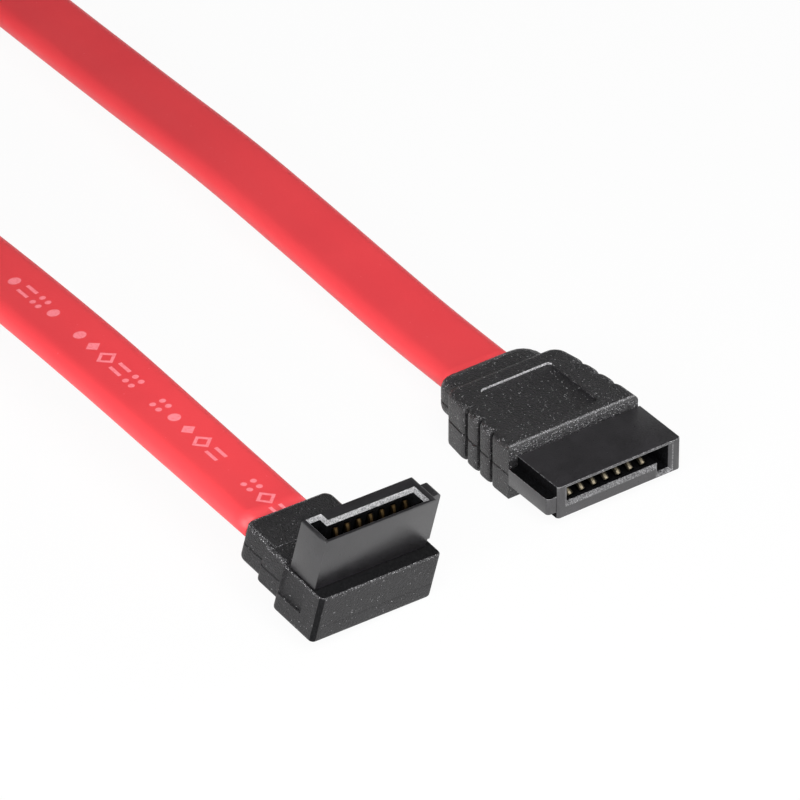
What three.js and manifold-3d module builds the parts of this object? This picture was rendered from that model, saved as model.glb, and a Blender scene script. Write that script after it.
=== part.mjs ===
// Flat red data cable for a disk drive, with a straight plug on one end and an angled plug on the other.
// Millimetres, +Z up. The straight plug stands on z = 0 with the bottom centre of its box at the origin
// and its mouth towards +X. The cable lies on z = 0 and folds back to the angled plug beside it.

import * as THREE from 'three';
import { mergeVertices } from 'three/addons/utils/BufferGeometryUtils.js';
import Module from 'manifold-3d';

const wasm = await Module();
wasm.setup();

// Fits between pieces
const seatClearance = 0.1;
const solderGap = 0.05;

// Fineness of round shapes
const arcSegments = 2;
const edgeSegments = 3;
const wireSides = 8;
const stepsPerStripPoint = 6;
const divisionsPerStation = 40;
const mergeTolerance = 1e-5;

// Contact row, the same in both plugs
const contactCount = 7;
const contactPitch = 1.27;
const contactWidth = 0.5;
const contactThickness = 0.2;
const channelWidth = 0.75;
const channelFloor = 0.62;

// Mouth of a receptacle, a long slot with a foot at one end
const receptacleHeight = 3.2;
const slotDepth = 4.9;
const slotLeft = -4.6;
const slotRight = 6.0;
const slotCeilingWall = 0.5;
const slotHeight = 1.36;
const footWidth = 1.1;
const footHeight = 0.9;
const leadIn = 0.3;
const blockCornerRadius = 0.3;
const shankSideInset = 0.8;
const shankFloorInset = 0.3;
const shankCeilingInset = 0.5;

// Spring of a contact, measured back from the mouth
const springTip = 0.95;
const springTipHeight = 1.25;
const springCrown = 1.55;
const springCrownHeight = 1.58;
const springRoot = 3.7;
const tailHeight = channelFloor + seatClearance + contactThickness / 2;

// Side rail of a receptacle
const railWidth = 0.93;
const railHeight = 1.65;
const railSetback = 0.2;
const railCornerRadius = 0.35;

// Straight plug. A corner seen from above is rounder than the edge round it by the named extra.
const straightReceptacle = {
  left: -5.77,
  right: 7.13,
  railBottom: 0.6,
  exposed: 5.9,
  shank: 2.4,
  tail: 1.8,
};
const straightBody = {
  length: 10.1,
  frontHalfWidth: 6.9,
  rearHalfWidth: 5.8,
  centreY: 0.1,
  bottom: -1.1,
  height: 5.4,
  topEdge: 0.5,
  bottomEdge: 0.25,
  rearCornerExtra: 0.7,
  frontCornerExtra: 0.1,
};
const straightNeck = {
  length: 2.7,
  halfWidth: 5.2,
  bottom: -0.2,
  height: 3.6,
  edge: 1.0,
  cornerExtra: 0.5,
};
const gripGroove = { count: 3, firstFromFront: 2.95, pitch: 1.97, width: 0.5, depth: 0.35 };
const labelRecess = { fromFront: 1.3, length: 7.1, halfWidth: 3.75, depth: 0.25, corner: 0.5 };

// Angled plug, in its own frame: x to the front, y to the side, z up to the mouth, mouth face at z = 0
const angledReceptacle = {
  left: -5.67,
  right: 6.58,
  railBottom: 0.95,
  exposed: 5.24,
  shank: 1.3,
  tail: 1.15,
};
const angledBlock = { rear: -0.8, front: 4.5, left: -6.82, right: 6.42, height: 4.84, edge: 0.35 };
const angledShoulder = { length: 2.8, left: -6.45, right: 6.0, height: 4.05, edge: 0.35 };
const angledNeck = { length: 2.8, halfWidth: 4.6, height: 3.8, edge: 0.35 };
const angledCornerExtra = { block: 0.1, shoulder: 0.15, neck: 0.45 };
const angledExitOffset = -1.6;
const angledStraightRun = 1.7;
const angledTailBend = { reach: 0.35, drift: 0.02, entry: 0.05 };
const sidePanel = { depth: 0.18, height: 2.96, frontSetback: 2.04 };

// Flat cable and the wires in it
const jacketWidth = 7.0;
const jacketThickness = 2.2;
const jacketSteps = 80;
const coreRadius = 0.45;
const conductorRadius = 0.2;
const drainRadius = 0.16;
const pairOffset = 1.75;
const corePitch = 1.1;
const drainOffset = 1.3;
const middleDrainOffset = 0.2;
const passageMargin = 0.15;
const passageWall = 0.5;
const bareLength = 1.9;
const stripSetback = 0.5;
const coreLead = 1.35;
const coreSteps = 10;
const drainSteps = 12;

// Place of the angled plug beside the straight one: centre of its mouth, and its turns in degrees
const angledPlace = { x: 8.68, y: -25.6, roll: -6.33, pitch: 9.97, yaw: 4.75 };

// Centre of the flat cable from the straight plug to the angled one, with the turn of its width from
// level in degrees. It leaves both plugs flat, stands up on its edge, and closes in one loop.
const cableStations = [
  [-9.65, -0.1, 2.7, 0],
  [-20, -0.1, 2.8, 0],
  [-34, -0.1, 3.5, 0],
  [-48, -0.1, 4.03, 0],
  [-62, -0.1, 3.82, 0],
  [-74, -0.1, 3.68, 0],
  [-86, -0.1, 3.62, 0],
  [-97, -0.1, 3.6, 22],
  [-108, -0.8, 3.6, 50],
  [-119, -3.5, 3.62, 76],
  [-130, -8, 3.8, 90],
  [-141, -11.9, 4.3, 90],
  [-151.5, -13.1, 4.75, 90],
  [-162, -11.5, 4.3, 90],
  [-172, -6.7, 3.8, 90],
  [-181, 0.3, 3.6, 90],
  [-190, 7.2, 3.6, 90],
  [-203, 11.6, 3.6, 90],
  [-216.7, 8.6, 3.6, 90],
  [-226.8, -1, 3.6, 90],
  [-230.5, -14.4, 3.6, 90],
  [-226.8, -27.8, 3.6, 90],
  [-216.7, -37.4, 3.6, 90],
  [-203, -40.4, 3.6, 90],
  [-190, -36, 3.6, 90],
  [-181, -29.1, 3.6, 90],
  [-172, -22.1, 3.8, 90],
  [-162, -17.3, 4.3, 90],
  [-151.5, -15.7, 4.75, 90],
  [-141, -16.9, 4.3, 90],
  [-130, -20.7, 3.85, 91],
  [-119, -25.1, 3.75, 96],
  [-108, -28.1, 3.9, 107],
  [-96, -29.1, 4.35, 126],
  [-82, -29.15, 5.05, 150],
  [-68, -29.15, 5.9, 170],
  [-54, -29.15, 6.75, 179],
  [-40, -29.15, 7.2, 180],
  [-26, -29.1, 7.15, 180],
  [-12, -28.95, 6.45, 177],
  [1.0, -28.62, 5.5, 173.7],
];

// Tie round the two runs of the folded cable
const tie = {
  fromX: -155,
  length: 7,
  y: -14.4,
  wall: 0.8,
  cornerExtra: 0.4,
  runGap: 0.4,
  clearance: 0.45,
};

const black = { color: 0x232325, roughness: 0.6, metalness: 0 };
const blackSatin = { color: 0x2c2c2e, roughness: 0.38, metalness: 0 };
const gold = { color: 0xd8b26a, roughness: 0.3, metalness: 1 };
const red = { color: 0xe04048, roughness: 0.42, metalness: 0 };
const white = { color: 0xe8e6e0, roughness: 0.5, metalness: 0 };
const tinned = { color: 0xc9cacc, roughness: 0.35, metalness: 1 };

const axisBases = {
  x: [new THREE.Vector3(0, 1, 0), new THREE.Vector3(0, 0, 1), new THREE.Vector3(1, 0, 0)],
  y: [new THREE.Vector3(0, 0, 1), new THREE.Vector3(1, 0, 0), new THREE.Vector3(0, 1, 0)],
  z: [new THREE.Vector3(1, 0, 0), new THREE.Vector3(0, 1, 0), new THREE.Vector3(0, 0, 1)],
};

/** Closed outline through corners [a, b, radius], with a true arc at each corner that has a radius. */
function outline(corners) {
  const shape = new THREE.Shape();
  corners.forEach(([a, b, radius = 0], index) => {
    const corner = new THREE.Vector2(a, b);
    const previous = corners[(index + corners.length - 1) % corners.length];
    const next = corners[(index + 1) % corners.length];
    const back = new THREE.Vector2(previous[0], previous[1]).sub(corner).normalize();
    const on = new THREE.Vector2(next[0], next[1]).sub(corner).normalize();
    const halfAngle = Math.acos(back.dot(on)) / 2;
    const reach = radius / Math.tan(halfAngle);
    const start = corner.clone().addScaledVector(back, reach);
    const end = corner.clone().addScaledVector(on, reach);
    if (index === 0) shape.moveTo(start.x, start.y);
    else shape.lineTo(start.x, start.y);
    if (radius > 0) {
      const inward = back.clone().add(on).normalize();
      const centre = corner.clone().addScaledVector(inward, radius / Math.sin(halfAngle));
      const from = start.clone().sub(centre).angle();
      const to = end.clone().sub(centre).angle();
      shape.absarc(centre.x, centre.y, radius, from, to, on.cross(back) < 0);
    }
  });
  return shape;
}

/** Closed outline of a rectangle with round corners. */
function rectangle(a0, a1, b0, b1, radius = 0) {
  return outline([
    [a0, b0, radius],
    [a1, b0, radius],
    [a1, b1, radius],
    [a0, b1, radius],
  ]);
}

/**
 * Prism of an outline between two places on an axis. The outline lies in (y, z) for x, (z, x) for y
 * and (x, y) for z. An edge rounds both ends over that size, inside the outline.
 */
function prism(axis, shape, from, to, edge = 0) {
  const geometry = new THREE.ExtrudeGeometry(shape, {
    depth: to - from - 2 * edge,
    curveSegments: arcSegments,
    bevelEnabled: edge > 0,
    bevelThickness: edge,
    bevelSize: edge,
    bevelOffset: -edge,
    bevelSegments: edgeSegments,
  });
  geometry.translate(0, 0, from + edge);
  return geometry.applyMatrix4(new THREE.Matrix4().makeBasis(...axisBases[axis]));
}

/** Box between two corners. */
function block(x0, x1, y0, y1, z0, z1) {
  return prism('z', rectangle(x0, x1, y0, y1), z0, z1);
}

/** Solid of a closed geometry, ready to be cut and joined. */
function solid(geometry) {
  const bare = geometry.clone();
  bare.deleteAttribute('normal');
  bare.deleteAttribute('uv');
  const merged = mergeVertices(bare, mergeTolerance);
  return new wasm.Manifold(
    new wasm.Mesh({
      numProp: 3,
      vertProperties: merged.attributes.position.array,
      triVerts: merged.index.array,
    }),
  );
}

/** Geometry of a joined or cut solid. */
function geometryOf(shape) {
  const { vertProperties, triVerts } = shape.getMesh();
  const geometry = new THREE.BufferGeometry();
  geometry.setAttribute('position', new THREE.BufferAttribute(vertProperties, 3));
  geometry.setIndex(new THREE.BufferAttribute(triVerts, 1));
  geometry.computeVertexNormals();
  return geometry;
}

/** Geometry of joined pieces with cutters taken away. */
function carve(pieces, cutters = []) {
  let result = solid(pieces[0]);
  pieces.slice(1).forEach((piece) => {
    result = result.add(solid(piece));
  });
  cutters.forEach((cutter) => {
    result = result.subtract(solid(cutter));
  });
  return geometryOf(result);
}

/** Geometry of the space that two pieces share. */
function common(one, other) {
  return geometryOf(solid(one).intersect(solid(other)));
}

function mesh(name, geometry, finish) {
  const result = new THREE.Mesh(geometry, new THREE.MeshStandardMaterial(finish));
  result.name = name;
  return result;
}

/** Round wire through points. */
function wire(points, radius, steps) {
  const corners = Array.from({ length: wireSides }, (_, index) => {
    const angle = (Math.PI * (2 * index + 1)) / wireSides;
    return new THREE.Vector2(radius * Math.cos(angle), radius * Math.sin(angle));
  });
  return new THREE.ExtrudeGeometry(new THREE.Shape(corners), {
    steps,
    extrudePath: new THREE.CatmullRomCurve3(points.map((point) => new THREE.Vector3(...point))),
    bevelEnabled: false,
  });
}

const contactPlaces = Array.from(
  { length: contactCount },
  (_, index) => (index - (contactCount - 1) / 2) * contactPitch,
);

const slotCeiling = receptacleHeight - slotCeilingWall;
const slotFloor = slotCeiling - slotHeight;

/** Outline of the mouth in (y, z): the long slot, and the foot below its right end. */
function mouthOutline() {
  return outline([
    [slotLeft, slotFloor],
    [slotRight - footWidth, slotFloor],
    [slotRight - footWidth, slotFloor - footHeight],
    [slotRight, slotFloor - footHeight],
    [slotRight, slotCeiling],
    [slotLeft, slotCeiling],
  ]);
}

/** Flare of the mouth: the slot's outline grows by the lead-in towards x = 0. */
function mouthFlare() {
  const flare = new THREE.ExtrudeGeometry(mouthOutline(), {
    depth: leadIn,
    bevelThickness: leadIn,
    bevelSize: leadIn,
    bevelSegments: 1,
  });
  return flare.applyMatrix4(new THREE.Matrix4().makeBasis(...axisBases.x));
}

/** Moulded receptacle with its mouth at x = 0, its shank behind and its rail on the left side. */
function receptacleGeometry({ left, right, railBottom, exposed, shank }) {
  const blockRear = -(exposed - seatClearance);
  const shankRear = -(exposed + shank);
  const mouthBlock = prism(
    'z',
    outline([
      [blockRear, left],
      [0, left, blockCornerRadius],
      [0, right, blockCornerRadius],
      [blockRear, right],
    ]),
    0,
    receptacleHeight,
  );
  const shankBlock = block(
    shankRear,
    blockRear + seatClearance,
    left + shankSideInset,
    right - shankSideInset,
    shankFloorInset,
    receptacleHeight - shankCeilingInset,
  );
  const rail = prism(
    'z',
    outline([
      [blockRear, left - railWidth],
      [-railSetback, left - railWidth, railCornerRadius],
      [-railSetback, left + seatClearance],
      [blockRear, left + seatClearance],
    ]),
    railBottom,
    railBottom + railHeight,
  );
  const slot = prism('x', mouthOutline(), -slotDepth, seatClearance);
  const channels = contactPlaces.flatMap((y) => {
    const from = y - channelWidth / 2;
    const to = y + channelWidth / 2;
    const front = -(springTip - leadIn);
    const roof = tailHeight + contactThickness / 2 + seatClearance;
    return [
      block(-slotDepth, front, from, to, channelFloor, slotFloor + seatClearance),
      block(shankRear - seatClearance, front, from, to, channelFloor, roof),
    ];
  });
  return carve([mouthBlock, shankBlock, rail], [slot, mouthFlare(), ...channels]);
}

/** Outline of a bent strip: a centre line in (z, x), thickened to both sides. */
function stripOutline(points, thickness) {
  const curve = new THREE.SplineCurve(points.map(([x, z]) => new THREE.Vector2(z, x)));
  const steps = stepsPerStripPoint * (points.length - 1);
  const near = [];
  const far = [];
  for (let step = 0; step <= steps; step += 1) {
    const centre = curve.getPoint(step / steps);
    const along = curve.getTangent(step / steps);
    const across = new THREE.Vector2(-along.y, along.x).multiplyScalar(thickness / 2);
    near.push(centre.clone().add(across));
    far.unshift(centre.clone().sub(across));
  }
  return new THREE.Shape([...near, ...far]);
}

/** Stamped spring contact at y, from its tip in the mouth to the end of its tail. */
function contactGeometry(y, tailPoints) {
  const centreLine = [
    [-springTip, springTipHeight],
    [-springCrown, springCrownHeight],
    [-(springCrown + springRoot) / 2, (springCrownHeight + tailHeight) / 2],
    [-springRoot, tailHeight],
    ...tailPoints,
  ];
  const from = y - contactWidth / 2;
  return prism('y', stripOutline(centreLine, contactThickness), from, from + contactWidth);
}

/** Receptacle and its contacts as one group, mouth towards +x. */
function buildReceptacle(prefix, spec, tailPoints) {
  const group = new THREE.Group();
  group.add(mesh(`${prefix}_housing`, receptacleGeometry(spec), blackSatin));
  contactPlaces.forEach((y, index) => {
    group.add(mesh(`${prefix}_contact_${index + 1}`, contactGeometry(y, tailPoints), gold));
  });
  return group;
}

/** Wires across the cable: two pairs of cores, each with a drain wire on both sides. */
const wireHalves = [-1, 1].flatMap((side) => {
  const pair = side * pairOffset;
  const contact = (place) => side * place * contactPitch;
  return [
    { kind: 'drain', inJacket: pair + side * drainOffset, onContact: contact(3) },
    { kind: 'core', inJacket: pair + (side * corePitch) / 2, onContact: contact(2) },
    { kind: 'core', inJacket: pair - (side * corePitch) / 2, onContact: contact(1) },
    { kind: 'drain', inJacket: pair - side * drainOffset, onContact: side * middleDrainOffset },
  ];
});
const wireRow = wireHalves.sort((one, other) => one.inJacket - other.inJacket);

/**
 * Wires from the jacket to the contact tails. route gives the points of one wire from its places in
 * the jacket and on the contact: first the covered run, then the bare end.
 */
function buildWires(prefix, route) {
  const group = new THREE.Group();
  const counts = { core: 0, drain: 0 };
  wireRow.forEach(({ kind, inJacket, onContact }) => {
    const { covered, bareEnd } = route(inJacket, onContact);
    counts[kind] += 1;
    const name = `${prefix}_${kind}_${counts[kind]}`;
    if (kind === 'drain') {
      group.add(mesh(name, wire([...covered, bareEnd], drainRadius, drainSteps), tinned));
      return;
    }
    const insideCover = covered[covered.length - 2];
    const conductor = wire([insideCover, bareEnd], conductorRadius, 1);
    group.add(mesh(name, carve([wire(covered, coreRadius, coreSteps), conductor]), white));
  });
  return group;
}

const wireReach = pairOffset + drainOffset + drainRadius + passageMargin;
const tailReach = ((contactCount - 1) / 2) * contactPitch + contactWidth / 2 + passageMargin;

/** Pocket that takes a receptacle's shank, open at the front. */
function shankPocket({ left, right, exposed, shank }) {
  return block(
    -(exposed + shank + seatClearance),
    -exposed + seatClearance,
    left + shankSideInset - seatClearance,
    right - shankSideInset + seatClearance,
    shankFloorInset - seatClearance,
    receptacleHeight - shankCeilingInset + seatClearance,
  );
}

/** Grip of the straight plug: tapered body with grooves and a recess, and the neck behind it. */
function straightOvermould() {
  const { centreY, bottom, height, topEdge, bottomEdge } = straightBody;
  const front = -straightReceptacle.exposed;
  const rear = front - straightBody.length;
  const neckRear = rear - straightNeck.length;
  const rearCorner = topEdge + straightBody.rearCornerExtra;
  const frontCorner = topEdge + straightBody.frontCornerExtra;
  const neckCorner = straightNeck.edge + straightNeck.cornerExtra;
  const halfWidthAt = (x) =>
    THREE.MathUtils.mapLinear(
      x,
      front,
      rear,
      straightBody.frontHalfWidth,
      straightBody.rearHalfWidth,
    );
  const bodyPlan = outline([
    [rear, centreY - straightBody.rearHalfWidth, rearCorner],
    [front, centreY - straightBody.frontHalfWidth, frontCorner],
    [front, centreY + straightBody.frontHalfWidth, frontCorner],
    [rear, centreY + straightBody.rearHalfWidth, rearCorner],
  ]);
  const body = common(
    prism('z', bodyPlan, bottom - 2 * topEdge, bottom + height, topEdge),
    prism('z', bodyPlan, bottom, bottom + height + 2 * bottomEdge, bottomEdge),
  );
  const neck = prism(
    'z',
    outline([
      [neckRear, centreY - straightNeck.halfWidth, neckCorner],
      [rear + neckCorner, centreY - straightNeck.halfWidth, neckCorner],
      [rear + neckCorner, centreY + straightNeck.halfWidth, neckCorner],
      [neckRear, centreY + straightNeck.halfWidth, neckCorner],
    ]),
    straightNeck.bottom,
    straightNeck.bottom + straightNeck.height,
    straightNeck.edge,
  );
  const grooves = [-1, 1].flatMap((side) =>
    Array.from({ length: gripGroove.count }, (_, index) => {
      const x = front - gripGroove.firstFromFront - index * gripGroove.pitch;
      const wall = halfWidthAt(x);
      const corners = [
        [x - gripGroove.width / 2, centreY + side * (wall + gripGroove.depth)],
        [x - gripGroove.width / 4, centreY + side * (wall - gripGroove.depth)],
        [x + gripGroove.width / 4, centreY + side * (wall - gripGroove.depth)],
        [x + gripGroove.width / 2, centreY + side * (wall + gripGroove.depth)],
      ];
      const shape = outline(side > 0 ? corners.reverse() : corners);
      return prism('z', shape, bottom - seatClearance, bottom + height + seatClearance);
    }),
  );
  const recess = prism(
    'z',
    rectangle(
      front - labelRecess.fromFront - labelRecess.length,
      front - labelRecess.fromFront,
      centreY - labelRecess.halfWidth,
      centreY + labelRecess.halfWidth,
      labelRecess.corner,
    ),
    bottom + height - labelRecess.depth,
    bottom + height + seatClearance,
  );
  const fanFront = front - straightReceptacle.shank;
  const jacketHeight = straightNeck.bottom + straightNeck.height / 2;
  const neckPassage = block(
    neckRear - seatClearance,
    rear + seatClearance,
    centreY - wireReach,
    centreY + wireReach,
    jacketHeight - coreRadius - passageMargin,
    jacketHeight + coreRadius + passageMargin,
  );
  const fanPassage = block(
    rear,
    fanFront,
    -tailReach,
    tailReach,
    channelFloor - passageMargin,
    jacketHeight + coreRadius + passageMargin,
  );
  return carve(
    [body, neck],
    [...grooves, recess, shankPocket(straightReceptacle), neckPassage, fanPassage],
  );
}

/** Straight plug, mouth at x = 0. */
function buildStraightPlug() {
  const { exposed, shank, tail } = straightReceptacle;
  const tailEnd = -(exposed + shank + tail);
  const neckRear = -(exposed + straightBody.length + straightNeck.length);
  const jacketHeight = straightNeck.bottom + straightNeck.height / 2;
  const bareHeight = tailHeight + contactThickness / 2 + solderGap + conductorRadius;
  const strippedAt = tailEnd - stripSetback;
  const group = new THREE.Group();
  group.add(mesh('straight_overmould', straightOvermould(), black));
  group.add(buildReceptacle('straight', straightReceptacle, [[tailEnd, tailHeight]]));
  group.add(
    buildWires('straight', (inJacket, onContact) => {
      const y = straightBody.centreY + inJacket;
      return {
        covered: [
          [neckRear + seatClearance, y, jacketHeight],
          [neckRear + straightNeck.length, y, jacketHeight],
          [strippedAt - coreLead, onContact, bareHeight],
          [strippedAt, onContact, bareHeight],
        ],
        bareEnd: [strippedAt + bareLength, onContact, bareHeight],
      };
    }),
  );
  return group;
}

const angledTop = -angledReceptacle.exposed;
const angledJacketHeight = angledTop - angledNeck.height / 2 - seatClearance;
const shoulderRear = angledBlock.rear - angledShoulder.length;
const angledNeckRear = shoulderRear - angledNeck.length;

/** Grip of the angled plug: block under the receptacle, shoulder and neck behind it. */
function angledOvermould() {
  const { rear, front, left, right, height, edge } = angledBlock;
  const shoulderCorner = angledShoulder.edge + angledCornerExtra.shoulder;
  const neckCorner = angledNeck.edge + angledCornerExtra.neck;
  const overlap = shoulderCorner + neckCorner;
  const body = prism(
    'z',
    outline([
      [rear, left, edge + angledCornerExtra.block],
      [front, left, edge + angledCornerExtra.block],
      [front, right, edge + angledCornerExtra.block],
      [rear, right, edge + angledCornerExtra.block],
    ]),
    angledTop - height,
    angledTop,
    edge,
  );
  const shoulder = prism(
    'z',
    outline([
      [shoulderRear, angledShoulder.left, shoulderCorner],
      [rear + overlap, angledShoulder.left, shoulderCorner],
      [rear + overlap, angledShoulder.right, shoulderCorner],
      [shoulderRear, angledShoulder.right, shoulderCorner],
    ]),
    angledTop - angledShoulder.height,
    angledTop,
    angledShoulder.edge,
  );
  const neck = prism(
    'z',
    outline([
      [angledNeckRear, angledExitOffset - angledNeck.halfWidth, neckCorner],
      [shoulderRear + overlap, angledExitOffset - angledNeck.halfWidth, neckCorner],
      [shoulderRear + overlap, angledExitOffset + angledNeck.halfWidth, neckCorner],
      [angledNeckRear, angledExitOffset + angledNeck.halfWidth, neckCorner],
    ]),
    angledTop - angledNeck.height,
    angledTop,
    angledNeck.edge,
  );
  const panel = block(
    rear,
    front - sidePanel.frontSetback,
    left - seatClearance,
    left + sidePanel.depth,
    angledTop - sidePanel.height,
    angledTop + seatClearance,
  );
  const pocket = shankPocket(angledReceptacle).applyMatrix4(angledReceptacleTurn());
  const neckPassage = block(
    angledNeckRear - seatClearance,
    angledNeckRear + passageWall + seatClearance,
    angledExitOffset - wireReach,
    angledExitOffset + wireReach,
    angledJacketHeight - coreRadius - passageMargin,
    angledJacketHeight + coreRadius + passageMargin,
  );
  const wideNeckPassage = block(
    angledNeckRear + passageWall,
    shoulderRear + passageWall,
    angledExitOffset - wireReach,
    angledExitOffset + angledNeck.halfWidth - angledNeck.edge,
    angledJacketHeight - coreRadius - passageMargin,
    angledJacketHeight + coreRadius + passageMargin,
  );
  const tailBottom = angledTop - angledReceptacle.shank - angledReceptacle.tail;
  const fanPassage = block(
    shoulderRear + passageWall - seatClearance,
    tailHeight + contactThickness + passageMargin * 2,
    -tailReach - passageMargin,
    tailReach,
    tailBottom - passageMargin,
    angledTop - angledReceptacle.shank,
  );
  return carve([body, shoulder, neck], [panel, pocket, neckPassage, wideNeckPassage, fanPassage]);
}

/** Turn that stands a receptacle up: its mouth to +z, its contact wall to the rear. */
function angledReceptacleTurn() {
  return new THREE.Matrix4().makeRotationFromEuler(
    new THREE.Euler(0, -Math.PI / 2, Math.PI, 'ZYX'),
  );
}

/** Angled plug in its own frame, mouth up at z = 0. */
function buildAngledPlug() {
  const { exposed, shank, tail } = angledReceptacle;
  const bareHeight = angledJacketHeight;
  const tailLevel = bareHeight - conductorRadius - solderGap - contactThickness / 2;
  const tailPoints = [
    [-(exposed + shank), tailHeight],
    [tailLevel + angledTailBend.reach, tailHeight - angledTailBend.drift],
    [tailLevel + angledTailBend.entry, tailHeight - angledTailBend.reach],
    [tailLevel, tailHeight - tail],
  ];
  const strippedAt = angledBlock.rear - passageMargin;
  const group = new THREE.Group();
  group.add(mesh('angled_overmould', angledOvermould(), black));
  const receptacle = buildReceptacle('angled', angledReceptacle, tailPoints);
  receptacle.applyMatrix4(angledReceptacleTurn());
  group.add(receptacle);
  group.add(
    buildWires('angled', (inJacket, onContact) => {
      const y = angledExitOffset + inJacket;
      return {
        covered: [
          [angledNeckRear + seatClearance, y, angledJacketHeight],
          [angledNeckRear + angledStraightRun, y, angledJacketHeight],
          [strippedAt - coreRadius, onContact, bareHeight],
          [strippedAt, onContact, bareHeight],
        ],
        bareEnd: [tailHeight - contactThickness - seatClearance, onContact, bareHeight],
      };
    }),
  );
  return group;
}

/** Centre line of a flat cable whose width turns about it from station to station. */
class FlatCableRoute extends THREE.CatmullRomCurve3 {
  constructor(stations) {
    super(stations.map(([x, y, z]) => new THREE.Vector3(x, y, z)), false, 'catmullrom', 0.5);
    this.arcLengthDivisions = divisionsPerStation * stations.length;
    this.turns = stations.map((station) => THREE.MathUtils.degToRad(station[3]));
  }

  /** Turn of the width from level, at a share of the length. */
  turnAt(share) {
    const place = this.getUtoTmapping(share) * (this.turns.length - 1);
    const index = Math.min(Math.floor(place), this.turns.length - 2);
    return THREE.MathUtils.lerp(this.turns[index], this.turns[index + 1], place - index);
  }

  computeFrenetFrames(segments) {
    const frames = { tangents: [], normals: [], binormals: [] };
    const up = new THREE.Vector3(0, 0, 1);
    for (let step = 0; step <= segments; step += 1) {
      const tangent = this.getTangentAt(step / segments);
      const level = new THREE.Vector3().crossVectors(up, tangent).normalize();
      const width = level.applyAxisAngle(tangent, this.turnAt(step / segments));
      frames.tangents.push(tangent);
      frames.normals.push(width);
      frames.binormals.push(new THREE.Vector3().crossVectors(tangent, width));
    }
    return frames;
  }
}

/** Jacket of the flat cable: a flat section with round edges, swept along its route. */
function jacketGeometry() {
  const flat = (jacketWidth - jacketThickness) / 2;
  const section = new THREE.Shape();
  section.absarc(flat, 0, jacketThickness / 2, -Math.PI / 2, Math.PI / 2);
  section.absarc(-flat, 0, jacketThickness / 2, Math.PI / 2, (3 * Math.PI) / 2);
  return new THREE.ExtrudeGeometry(section, {
    steps: jacketSteps,
    curveSegments: arcSegments,
    extrudePath: new FlatCableRoute(cableStations),
    bevelEnabled: false,
  });
}

/** Flat band that holds the two runs of the folded cable side by side, on edge. */
function tieGeometry() {
  const halfInside = jacketThickness + tie.runGap / 2 + tie.clearance;
  const top = 2 * tie.wall + jacketWidth + 2 * tie.clearance;
  const halfOutside = halfInside + tie.wall;
  const outside = rectangle(
    tie.y - halfOutside,
    tie.y + halfOutside,
    0,
    top,
    tie.wall + tie.cornerExtra,
  );
  const inside = rectangle(
    tie.y - halfInside,
    tie.y + halfInside,
    tie.wall,
    top - tie.wall,
    tie.cornerExtra,
  );
  return carve(
    [prism('x', outside, tie.fromX, tie.fromX + tie.length)],
    [prism('x', inside, tie.fromX - tie.wall, tie.fromX + tie.length + tie.wall)],
  );
}

const straightPlug = buildStraightPlug();
const straightBox = new THREE.Box3().setFromObject(straightPlug, true);
const straightCentre = straightBox.getCenter(new THREE.Vector3());
straightPlug.position.set(-straightCentre.x, -straightCentre.y, -straightBox.min.z);

const angledPlug = buildAngledPlug();
const turn = THREE.MathUtils.degToRad;
angledPlug.rotation.set(
  turn(angledPlace.roll),
  turn(angledPlace.pitch),
  turn(angledPlace.yaw),
  'ZYX',
);
angledPlug.position.set(angledPlace.x, angledPlace.y, 0);
const angledBox = new THREE.Box3().setFromObject(angledPlug, true);
angledPlug.position.z = -angledBox.min.z;

const cable = new THREE.Group();
cable.add(straightPlug);
cable.add(angledPlug);
cable.add(mesh('cable_jacket', jacketGeometry(), red));
cable.add(mesh('hank_tie', tieGeometry(), black));

export default cable;
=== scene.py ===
"""Looks of a flat red data cable for a disk drive.

A straight plug and an angled plug, both black, end a flat cable that folds back on itself. The
plugs and the tie are written in millimetres of their own frames, each plug with its mouth at zero.
The cable, the stage and all finished meshes are in metres of the shared frame.
"""

import logging
import math
from collections.abc import Callable, Iterable, Sequence
from dataclasses import dataclass, field, replace
from enum import Enum

import bmesh
import bpy
from mathutils import Matrix, Vector


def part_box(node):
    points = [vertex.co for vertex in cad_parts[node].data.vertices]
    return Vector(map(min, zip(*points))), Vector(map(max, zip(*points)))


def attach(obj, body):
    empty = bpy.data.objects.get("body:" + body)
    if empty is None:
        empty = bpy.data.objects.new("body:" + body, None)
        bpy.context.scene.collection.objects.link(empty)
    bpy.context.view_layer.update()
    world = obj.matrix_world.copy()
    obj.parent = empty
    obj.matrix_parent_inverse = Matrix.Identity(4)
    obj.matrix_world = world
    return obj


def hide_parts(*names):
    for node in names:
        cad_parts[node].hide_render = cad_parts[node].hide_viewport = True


Piece = bpy.types.Object
Material = bpy.types.Material
Mesh = bmesh.types.BMesh
Face = bmesh.types.BMFace
Point = tuple[float, float, float]
Corner = tuple[float, float, float]
Colour = tuple[float, float, float, float]

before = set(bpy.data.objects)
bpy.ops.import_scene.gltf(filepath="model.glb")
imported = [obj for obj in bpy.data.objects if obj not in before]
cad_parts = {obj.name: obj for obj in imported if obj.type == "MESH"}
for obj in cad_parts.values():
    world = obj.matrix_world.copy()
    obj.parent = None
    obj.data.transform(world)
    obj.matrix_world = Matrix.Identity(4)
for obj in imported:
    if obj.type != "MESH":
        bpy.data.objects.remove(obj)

log = logging.getLogger("data_cable")

MM = 0.001
ROOT = "root"
# Face attribute of painted highlight: pale glints and sheen where edges catch the light.
EDGE_HIGHLIGHT_LAYER = "worn_edge"

# Angles in degrees: a CAD node's faces are one face within the first, and meet sharply past the second.
FLAT_WITHIN, SHARP_FROM = 1.0, 25.0

# Places of the Mix node's sockets for colours.
MIX_SHARE, MIX_FIRST, MIX_SECOND, MIX_RESULT = 0, 6, 7, 2

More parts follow.
